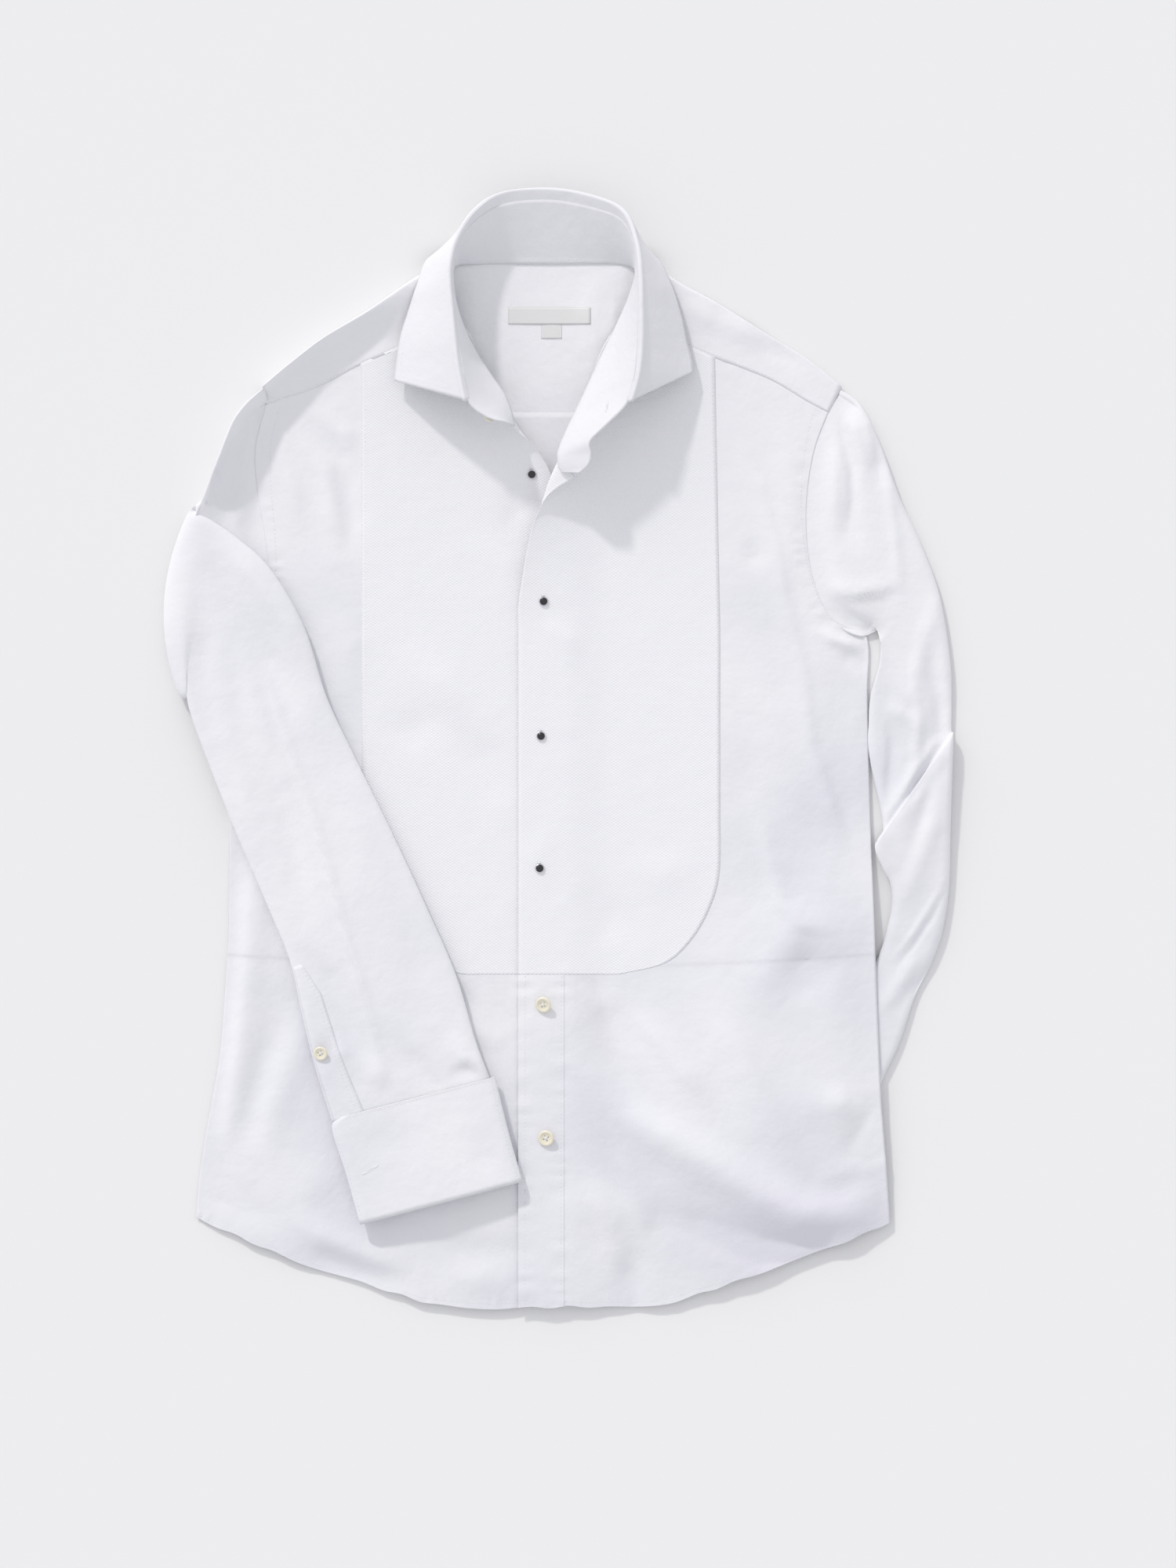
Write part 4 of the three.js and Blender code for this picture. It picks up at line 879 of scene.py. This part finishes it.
STRAIGHT_FOLDS = [
    crease(4.5, (211, 262), (216, 240, -2.6), (223, 214, -2.8), (224, 188, -1.6), (218, 160), lean=.3),
    crease(5, (214, 262), (226, 244, 2.0), (232, 220, 1.6), (234, 196)),
    crease(5, (204, 246), (208, 222, 1.6), (212, 190, 1.2), (212, 168)),
    crease(4, (226, 262), (234, 246, 2.2), (239, 228, 1.8), (241, 214)),
    crease(5, (238, 236), (244, 216, -2), (248, 196)),
    crease(12, (216, 200), (222, 168, -2.2), (216, 142)),
    crease(5, (246, 228), (252, 200, 1.4), (258, 148, 1.4), (262, 110)),
    crease(6.5, (188, 122), (202, 118, 2.2), (228, 117, 2.6), (246, 120, 2.0), (264, 127), lean=.5),
    crease(6.5, (190, 110), (200, 105, -4.0), (218, 99, -5.2), (236, 91, -5.2), (248, 84)),
    crease(4, (204, 106), (216, 101, 2.4), (232, 93, 1.6), (240, 88)),
    crease(6, (206, 90), (218, 84, 1.4), (230, 82, 1.4), (240, 78)),
    crease(7, (258, 66), (268, 40, 1.2), (284, 96, 1.6), (290, 120)),
    crease(5.5, (250, 34), (260, 27, 1.8), (268, 20, 1.4), (274, 8)),
    crease(5, (250, 22), (254, 2, -2.0), (252, -24, -2.0), (250, -44), lean=.3),
    crease(6.5, (280, 90), (284, 62, -2.2), (291, 30, -3.4), (291, 10, -2), (290, -6)),
    crease(5, (272, 52), (275, 20, 2.2), (272, -14, 2.2), (262, -44, 1.4), (254, -60)),
    crease(4.4, (290, 0), (284, -14, -1.7), (270, -34, -2.0), (256, -52, -1.2), (246, -66)),
    crease(3.6, (298, 11), (286, 2, 1.6), (268, -24, 2.0), (252, -50, 1.8), (242, -72)),
    crease(6, (300, -8), (284, -26, -1.8), (276, -56, -1.8), (268, -84)),
    crease(8, (294, -36), (284, -64, 1.6), (270, -100, 1.8), (258, -130)),
    crease(2.6, (296, -98), (284, -120, .8), (270, -142, .9), (252, -166)),
    crease(2.2, (297, -106), (286, -128, -.8), (272, -150, -.8), (256, -170)),
    crease(6, (284, -150), (268, -168, 1.6), (252, -192, 1.2), (244, -206)),
    crease(5, (286, -164), (272, -182, -1.6), (258, -204)),
]

for fold in STRAIGHT_FOLDS:
    fold["gain"] = SLEEVE_RELIEF


def sleeve_loops(rows, steps, armhole, folds, lower_folds=()):
    """Loops round a flattened sleeve, with folds on the side that lies uppermost."""
    fine = curve(rows, steps)
    place = np.arange(len(fine)) / steps
    loops = []
    for where, (ox, oy, ix, iy, low, half, bend, fade, turn) in zip(place, fine):
        turn, fade = min(max(turn, 0), 1), max(fade, 0)
        outer, inner = np.array([ox, oy]), np.array([ix, iy])
        angle = turn * math.pi
        loop = []
        for side in (1, -1):
            # places across the sleeve, closer together at its two edges
            t = np.arange(RING // 2) / (RING // 2 - 1)
            t = .5 - .5 * np.cos(math.pi * t)
            t = t if side > 0 else 1 - t
            flat = outer + (inner - outer) * t[:, None]
            flat[:, 0] += bend * 4 * t * (1 - t)
            if fade > 0 and armhole:
                # near the body the section follows the armhole
                start, end = np.array(rows[0][:2], float), np.array(rows[0][2:4], float)
                on = np.array([mix(start, np.array(armhole[0], float), v / YOKE_PART) if v < YOKE_PART
                               else bezier(armhole, (v - YOKE_PART) / (1 - YOKE_PART)) for v in t])
                flat += fade * (on - start - (end - start) * t[:, None])
            # it is round at the edges and a little fuller in the middle
            width = np.linalg.norm(inner - outer)
            edge = np.minimum(t, 1 - t) * width
            corner = 2.2 * half * mix(1, .3, fade if armhole else 0)
            bulge = np.sqrt(np.clip(1 - (1 - np.clip(edge / corner, 0, 1)) ** 2, 0, 1))
            bulge = bulge * (1 + .25 * np.sin(math.pi * t))
            high = side * half * bulge
            points = np.column_stack([flat[:, 0] + math.sin(angle) * high, flat[:, 1],
                                      low + half + math.cos(angle) * high])
            up = np.clip((points[:, 2] - low - half) / half, 0, 1)
            if armhole:
                # the first loops reach in past the seam
                points[:, 0] -= (1 if armhole is ARMHOLE_R else -1) * 1.6 * SEAM_LAP * max(0, 1 - 2 * where)
            active = folds if (turn > .5 or not lower_folds) else lower_folds
            points[:, 2] += fold_height(points[:, 0], points[:, 1], active) * smooth(up * 1.4)
            if armhole is ARMHOLE_L and where < 5:
                # the shoulder's ridge lifts the upper side, and the lower side near its edges only
                ridge = fold_height(points[:, 0], points[:, 1], SHOULDER)
                wall = mix(5, 14, float(smooth(where / 2)))
                share = np.where(side > 0, 1, smooth(1 - edge / wall))
                points[:, 2] += ridge * share * smooth((4.6 - where) / 1.2)
            points[:, 2] = np.maximum(points[:, 2], low * .5 + .15)
            if armhole and where < 1 and side > 0:
                # the first loops come down to the front beside them
                front = over_front if armhole is ARMHOLE_R else under_front
                for i in np.nonzero((t > .06) & (t < .9))[0]:
                    rest = nearest_height(front, points[i, 0], points[i, 1]) - SLEEVE_BY_FRONT
                    points[i, 2] = mix(rest, points[i, 2], float(smooth(where)))
            loop.append(points)
        loops.append(np.vstack([loop[0], loop[1][1:-1]]))
    return np.array(loops)


BENT_STEPS, STRAIGHT_STEPS = 14, 11
bent = sleeve_loops(BENT, BENT_STEPS, ARMHOLE_L, FOREARM_FOLDS, BENT_FOLDS)
straight = sleeve_loops(STRAIGHT, STRAIGHT_STEPS, ARMHOLE_R, STRAIGHT_FOLDS)
cuff_folds = [crease(14, (-160, -304), (-130, -300, -.9), (-100, -306)),
              crease(12, (-60, -290), (-56, -312, -.7), (-60, -330))]
bent_cuff = sleeve_loops(BENT_CUFF, 10, None, cuff_folds)
straight_cuff = sleeve_loops(STRAIGHT_CUFF, 8, None, [])
cloth_piece("sleeve_right", bent, form=tube)
cloth_piece("sleeve_left", straight, form=tube)
cloth_piece("cuff_right", bent_cuff, TURNED, form=tube)
cloth_piece("cuff_left", straight_cuff, TURNED, form=tube)

# The wrist placket, the label and its tab lie on the cloth below them
def upper_strip(loops, sections, distances):
    """A strip on the upper side of a turned sleeve, at distances from its inner edge."""
    rows = []
    for r, (near, far) in zip(sections, distances):
        side = loops[r, RING // 2 - 1:]
        run = np.pad(np.cumsum(np.linalg.norm(np.diff(side, axis=0), axis=1)), (1, 0))
        rows.append([[np.interp(d, run, side[:, k]) for k in range(3)] for d in np.linspace(near, far, 9)])
    return np.array(rows)


wrist_rows = np.arange(12 * BENT_STEPS + 2, 15 * BENT_STEPS + 1)
wide = np.interp(wrist_rows, [wrist_rows[0], wrist_rows[0] + 9, wrist_rows[-1]], [7, 17, 25])
wrist = upper_strip(bent, wrist_rows, [(2.2, 2.2 + w) for w in wide])
wrist_up = grid_normals(wrist)
wrist = wrist + wrist_up * np.sign(wrist_up[:, :, 2:].mean()) * np.linspace(.4, .1, 9)[:, None]
cloth_piece("sleeve_placket", wrist)


def flat_piece(x0, x1, y0, y1, over):
    x, y = np.meshgrid(np.linspace(x0, x1, 25), np.linspace(y0, y1, 9))
    bulge = .25 * np.sin((x - x0) / (x1 - x0) * 3.1)
    z = LYING + over + np.maximum(fold_height(x, y, YOKE_FOLDS), 0) + bulge
    return np.dstack([x, y, z])


cloth_piece("label", flat_piece(-39, 24, 324, 337, .42), .25, ribbon, "label_cloth")
cloth_piece("size_tab", flat_piece(-14, 2, 313, 324.6, .25), .2, ribbon, "label_cloth")


# Small turned things: studs and buttons
def turned(profile, steps=36):
    """Points and faces of a closed turned body. The profile starts and ends on the axis, or is a ring."""
    points, faces = [], []
    for r, z in profile:
        for a in np.arange(steps) * 2 * math.pi / steps:
            points.append((r * math.cos(a), r * math.sin(a), z))
    for k in range(len(profile) - 1):
        for i in range(steps):
            j = (i + 1) % steps
            faces.append((k * steps + i, k * steps + j, (k + 1) * steps + j, (k + 1) * steps + i))
    return np.array(points, float), faces


def placed(points, place, normal):
    """Moves points so that their own up lies along the normal."""
    turn = Vector((0, 0, 1)).rotation_difference(Vector(normal)).to_matrix()
    return points @ np.array(turn).T + np.array(place)


def on_grid(g, x, y):
    """The place and the normal of a grid near x, y."""
    away = np.hypot(g[:, :, 0] - x, g[:, :, 1] - y)
    r, c = np.unravel_index(np.argmin(away), away.shape)
    n = grid_normals(g)[r, c]
    n = n * np.sign(n[2])
    return np.array([x, y, g[r, c, 2]]), (n + np.array([0, 0, 1])) / 2


def joined(parts):
    points, faces, start = [], [], 0
    for p, f in parts:
        points.append(p)
        faces += [tuple(i + start for i in face) for face in f]
        start += len(p)
    return np.vstack(points), faces


STUDS = [("stud_1", -21, 209, bib_under), ("stud_2", -12, 112, bib_over), ("stud_3", -14, 9, bib_over),
         ("stud_4", -15, -92, bib_over)]
RIM = [(2.75, .1), (3.55, .1), (3.75, .7), (3.6, 1.4), (3.2, 1.75), (2.8, 1.6), (2.75, .1)]
DISC = [(0, .1), (2.7, .1), (2.7, 1.6), (2.4, 2.0), (1.5, 2.25), (0, 2.35)]
loop_ring = [(1.15 + .32 * math.cos(a), .32 * math.sin(a)) for a in np.linspace(0, 2 * math.pi, 9)]
for name, x, y, g in STUDS:
    place, normal = on_grid(g, x, y)
    rim_points, rim_faces = turned(RIM)
    loop_points, loop_faces = turned(loop_ring, 16)
    loop_points = loop_points[:, [0, 2, 1]] + np.array([-.6, 4.1, .9])
    points, faces = joined([(rim_points, rim_faces), (loop_points, loop_faces)])
    rim_piece = add_object("look_" + name + "_rim", placed(points, place, normal), faces, silver)
    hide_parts(name + "_rim")
    points, faces = turned(DISC)
    disc_piece = add_object("look_" + name, placed(points, place, normal), faces, onyx)
    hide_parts(name)


LARGE, SMALL = 6.2, 5.4     # radii of the buttons
LARGE_BUTTON = [(0, 0), (5.2, 0), (6.0, .5), (LARGE, 1.1), (6.0, 1.8), (5.3, 2.15), (4.4, 2.05), (3.8, 1.55),
                (3.2, 1.35), (0, 1.3)]


def button(name, radius, place, normal, spin):
    """A dished button with four holes and its thread."""
    k = radius / LARGE
    points, faces = turned([(r * k, z * k) for r, z in LARGE_BUTTON], 40)
    piece = add_object("look_" + name, points, faces, pearl)
    drills = []
    for a in (45, 135, 225, 315):
        bpy.ops.mesh.primitive_cylinder_add(vertices=16, radius=.55 * k * MM, depth=6 * MM)
        drill = bpy.context.object
        angle = math.radians(a + spin)
        drill.location = (2.0 * k * math.cos(angle) * MM, 2.0 * k * math.sin(angle) * MM, 0)
        cut = piece.modifiers.new("hole", "BOOLEAN")
        cut.operation, cut.object, cut.solver = "DIFFERENCE", drill, "EXACT"
        drills.append(drill)
    bpy.context.view_layer.objects.active = piece
    bpy.context.view_layer.update()
    depsgraph = bpy.context.evaluated_depsgraph_get()
    cut_mesh = bpy.data.meshes.new_from_object(piece.evaluated_get(depsgraph))
    piece.modifiers.clear()
    piece.data = cut_mesh
    for drill in drills:
        bpy.data.objects.remove(drill)
    local = np.array([v.co for v in cut_mesh.vertices]) / MM
    cut_mesh.vertices.foreach_set("co", (placed(local, place, normal) * MM).ravel())
    cut_mesh.update()
    strands = []
    for sign in (1, -1):
        for aside in (-.28, .28):
            half = 1.5 * k
            bar_profile = [(0, -half), (.3, -1.4 * k), (.34, 0), (.3, 1.4 * k), (0, half)]
            bar, bar_faces = turned(bar_profile, 8)
            bar = bar[:, [2, 0, 1]] + np.array([0, aside, 0])
            bar[:, 2] += 1.42 * k + .18 - (bar[:, 0] / half) ** 2 * .5
            angle = math.radians(45 * sign + spin)
            c, s = math.cos(angle), math.sin(angle)
            turn = np.array([[c, -s, 0], [s, c, 0], [0, 0, 1]])
            strands.append((bar @ turn.T, bar_faces))
    points, faces = joined(strands)
    add_object("look_" + name + "_thread", placed(points, place, normal), faces, thread)
    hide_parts(name)


# Each front button's name, x, y, lean, lift and spin
FRONT_BUTTONS = [("front_button_1", -12, -196, .3, 2.3, 12), ("front_button_2", -10, -298, .2, 1.7, -20)]
for name, x, y, lean, lift, spin in FRONT_BUTTONS:
    place, normal = on_grid(placket_grid, x, y)
    button(name, LARGE, place + np.array([0, 0, lift]), normal - np.array([lean, lean, 0]), spin)
place, normal = on_grid(wrist, -182, -233)
button("sleeve_button", SMALL, place + np.array([0, 0, 1.7]), normal - np.array([.22, .22, 0]), 30)
low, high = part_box("collar_button")
first, second, third = (np.array(COLLAR[i]["seam"], float) for i in range(3))
up = np.array(COLLAR[1]["top"], float) - second
out = np.cross(up, third - first)
button("collar_button", SMALL, np.array((low + high) / 2) / MM - out / np.linalg.norm(out) * 1.0, out, 20)

# Stitches: short raised bars along lines drawn in a grid's own rows and columns
STITCH, STITCH_GAP = 2.2, .9
STITCH_HALF, STITCH_HIGH = .24, .18     # half the width of a stitch, and its height


def grid_point(g, r, c):
    r0, c0 = min(int(r), g.shape[0] - 2), min(int(c), g.shape[1] - 2)
    a, b = r - r0, c - c0
    return (g[r0, c0] * (1 - a) * (1 - b) + g[r0, c0 + 1] * (1 - a) * b
            + g[r0 + 1, c0] * a * (1 - b) + g[r0 + 1, c0 + 1] * a * b)


def stitched(g, thick, *path):
    """Stitches on a grid's upper face along a path of (row, column)."""
    normals = grid_normals(g)
    spots = []
    for (r0, c0), (r1, c1) in zip(path, path[1:]):
        for t in np.linspace(0, 1, 240, endpoint=False):
            spots.append((mix(r0, r1, t), mix(c0, c1, t)))
    points = np.array([grid_point(g, r, c) for r, c in spots])
    ups = np.array([grid_point(normals, r, c) for r, c in spots])
    ups *= np.sign(ups[:, 2:] + 1e-9)
    run = np.pad(np.cumsum(np.linalg.norm(np.diff(points, axis=0), axis=1)), (1, 0))
    parts = []
    for start in np.arange(.5, run[-1] - STITCH, STITCH + STITCH_GAP):
        ends = [np.array([np.interp(start + d, run, points[:, k]) for k in range(3)]) for d in (0, STITCH)]
        up = np.array([np.interp(start, run, ups[:, k]) for k in range(3)])
        side = np.cross(up, ends[1] - ends[0])
        side = side / max(np.linalg.norm(side), 1e-9) * STITCH_HALF
        base = [e + up * (thick / 2 - .05) for e in ends]
        inner = [mix(base[0], base[1], t) + up * STITCH_HIGH for t in (.2, .8)]
        corners = [base[0] + side, base[1] + side, base[1] - side, base[0] - side, *inner]
        parts.append((np.array(corners), [(0, 3, 2, 1), (0, 1, 5, 4), (2, 3, 4, 5), (1, 2, 5), (3, 0, 4)]))
    return joined(parts)


F = FINE
last = UPPER_ROWS + len(ROWS) - 1
bib_last = UPPER_ROWS + BIB_END
leaf_rows, leaf_columns = (n - 1 for n in leaf_grid.shape[:2])
yoke_rows = yoke_grid.shape[0] - 1
yoke_front_rows = 5 * YOKE_STEPS - 4
yoke_edge = yoke_grid.shape[1] - 1.9
lines = [
    stitched(under_front, CLOTH, (.2 * F, .65 * F), (5.9 * F, .65 * F)),
    stitched(over_front, CLOTH, (.2 * F, 6.35 * F), (5.9 * F, 6.35 * F)),
    stitched(placket_grid, CLOTH, (0, .15 * F), ((last - bib_last) * F, .15 * F)),
    stitched(placket_grid, CLOTH, (0, .93 * F), ((last - bib_last) * F, .93 * F)),
    stitched(under_front, CLOTH, ((last - .7) * F, .1 * F), ((last - .7) * F, 6.9 * F)),
    stitched(over_front, CLOTH, ((last - .7) * F, .1 * F), ((last - .7) * F, 6.9 * F)),
    stitched(bib_over, CLOTH, (.2 * F, 3.96 * F), (bib_last * F - 2, 3.95 * F), (bib_last * F - 2, .1 * F)),
    stitched(bib_under, CLOTH, (.2 * F, .06 * F), (bib_last * F - 2, .06 * F), (bib_last * F - 2, 3.9 * F)),
    stitched(leaf_grid, LEAF, (2, leaf_columns * .55), (2, leaf_columns - 1.7),
             (leaf_rows - 2, leaf_columns - 1.7), (leaf_rows - 2, leaf_columns * .55)),
    stitched(band_grid, TURNED, (2, 1.2), (band_grid.shape[0] - 3, 1.2)),
    stitched(yoke_grid, CLOTH, (1, yoke_edge), (yoke_front_rows, yoke_edge)),
    stitched(yoke_grid, CLOTH, (yoke_rows - yoke_front_rows, yoke_edge), (yoke_rows - 1, yoke_edge)),
    stitched(wrist, CLOTH, (.5, 7.2), (len(wrist) - 1, 7.2)),
    stitched(wrist, CLOTH, (.5, 6.2), (len(wrist) - 1, 6.2)),
]
cuff_top = bent_cuff[:, RING // 2 - 1:]
cuff_wide = cuff_top.shape[1] - 1
cuff_long = len(cuff_top)
lines.append(stitched(cuff_top, 0, (cuff_long - 2, cuff_wide - 5), (2, cuff_wide - 5), (2, 5),
                      (cuff_long - 2, 5)))
lines.append(stitched(cuff_top, 0, (6, 5), (6, cuff_wide - 5)))


def buttonhole(g, thick, start, end):
    """A narrow ring of close stitches between two places on a grid's upper face."""
    spots = []
    for x, y in (start, end):
        away = np.hypot(g[:, :, 0] - x, g[:, :, 1] - y)
        spots.append(np.unravel_index(np.argmin(away), away.shape))
    first, other = (g[spot] for spot in spots)
    up = grid_normals(g)[spots[0]]
    up = up * np.sign(up[2])
    ahead = other - first
    half = np.linalg.norm(ahead) / 2
    ahead = ahead / (2 * half)
    aside = np.cross(up, ahead)
    points, faces = turned([(.35, -.2), (1, -.2), (1, .2), (.7, .35), (.35, .2), (.35, -.2)], 24)
    points = points * (half, .9, .8) + (0, 0, thick / 2)
    turn = np.array([ahead, aside / np.linalg.norm(aside), up])
    return points @ turn + (first + other) / 2, faces


lines.append(buttonhole(cuff_top, 0, (-152, -325), (-137, -320)))
lines.append(buttonhole(band_grid, TURNED, (36, 254), (38, 263)))
points, faces = joined(lines)
add_object("look_stitches", points, faces, thread)

# What each sheet is cut from: width, length and how much of that rectangle it fills, in metres
CUTS = {
    "back": (.535, .690, .90, "laid", []),
    "yoke": (.455, .200, .62, "folded", ["back"]),
    "front_right": (.290, .760, .80, "laid", ["back"]),
    "front_left": (.290, .760, .80, "laid", ["front_right"]),
    "bib_right": (.160, .480, .90, "laid", ["front_right"]),
    "bib_left": (.160, .480, .90, "laid", ["front_left"]),
    "placket": (.036, .258, .95, "laid", ["front_left"]),
    "collar_band": (.420, .045, .95, "folded", ["yoke"]),
    "collar_leaf": (.460, .070, .70, "folded", ["collar_band"]),
    "sleeve_right": (.400, .520, .62, "folded", ["front_right"]),
    "sleeve_left": (.280, .500, .53, "folded", ["back"]),
    "sleeve_placket": (.028, .110, .80, "laid", ["sleeve_right"]),
    "cuff_right": (.260, .084, .97, "folded", ["front_right"]),
    "cuff_left": (.260, .070, .87, "folded", ["back"]),
    "label": (.064, .014, .97, "laid", ["yoke"]),
    "size_tab": (.017, .013, .9, "laid", ["yoke"]),
}
for node, piece in pieces.items():
    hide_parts(node)
    wide, long, filled, held, under = CUTS[node]

# The stage: floor, camera and lights
floor_mesh = bpy.data.meshes.new("floor")
REACH = 6.0
FLOOR_Z = -0.0004   # just under the lowest cloth
floor_corners = [(-REACH, -REACH, 0), (REACH, -REACH, 0), (REACH, REACH, 0), (-REACH, REACH, 0)]
floor_mesh.from_pydata(floor_corners, [], [(0, 1, 2, 3)])
floor = bpy.data.objects.new("floor", floor_mesh)
bpy.context.scene.collection.objects.link(floor)
floor.location.z = FLOOR_Z
floor_mesh.materials.append(plain_material("paper", (0.83, 0.83, 0.825), 0.95))

camera_data = bpy.data.cameras.new("camera")
camera = bpy.data.objects.new("camera", camera_data)
bpy.context.scene.collection.objects.link(camera)
DISTANCE = 5.0
SENSOR = 36
LONG_SIDE = 1.2                 # of the picture, on the surface
MIDDLE = (0.0219, -0.0276)      # of the picture, on the surface
camera_data.sensor_width = SENSOR
camera_data.lens = SENSOR * DISTANCE / LONG_SIDE
camera.location = (*MIDDLE, DISTANCE)
bpy.context.scene.camera = camera


def sun(name, plan, height, strength, spread, colour):
    """A sun whose light runs along plan, seen from above, from that many degrees over the surface."""
    height = math.radians(height)
    aim = (plan[0] * math.cos(height), plan[1] * math.cos(height), -math.sin(height))
    data = bpy.data.lights.new(name, "SUN")
    data.energy, data.angle, data.color = strength, math.radians(spread), colour
    lamp = bpy.data.objects.new(name, data)
    bpy.context.scene.collection.objects.link(lamp)
    lamp.rotation_euler = Vector(aim).to_track_quat("-Z", "Y").to_euler()


sun("key", (.447, -.894), 28, 1.35, 4, (1, .985, .955))
sun("skim", (.68, -.73), 20, .3, 26, (1, .99, .975))
world = bpy.data.worlds.new("world")
world.use_nodes = True
world.node_tree.nodes["Background"].inputs["Color"].default_value = (.955, .96, 1, 1)
world.node_tree.nodes["Background"].inputs["Strength"].default_value = .82
bpy.context.scene.world = world
bpy.context.scene.view_settings.view_transform = "Standard"
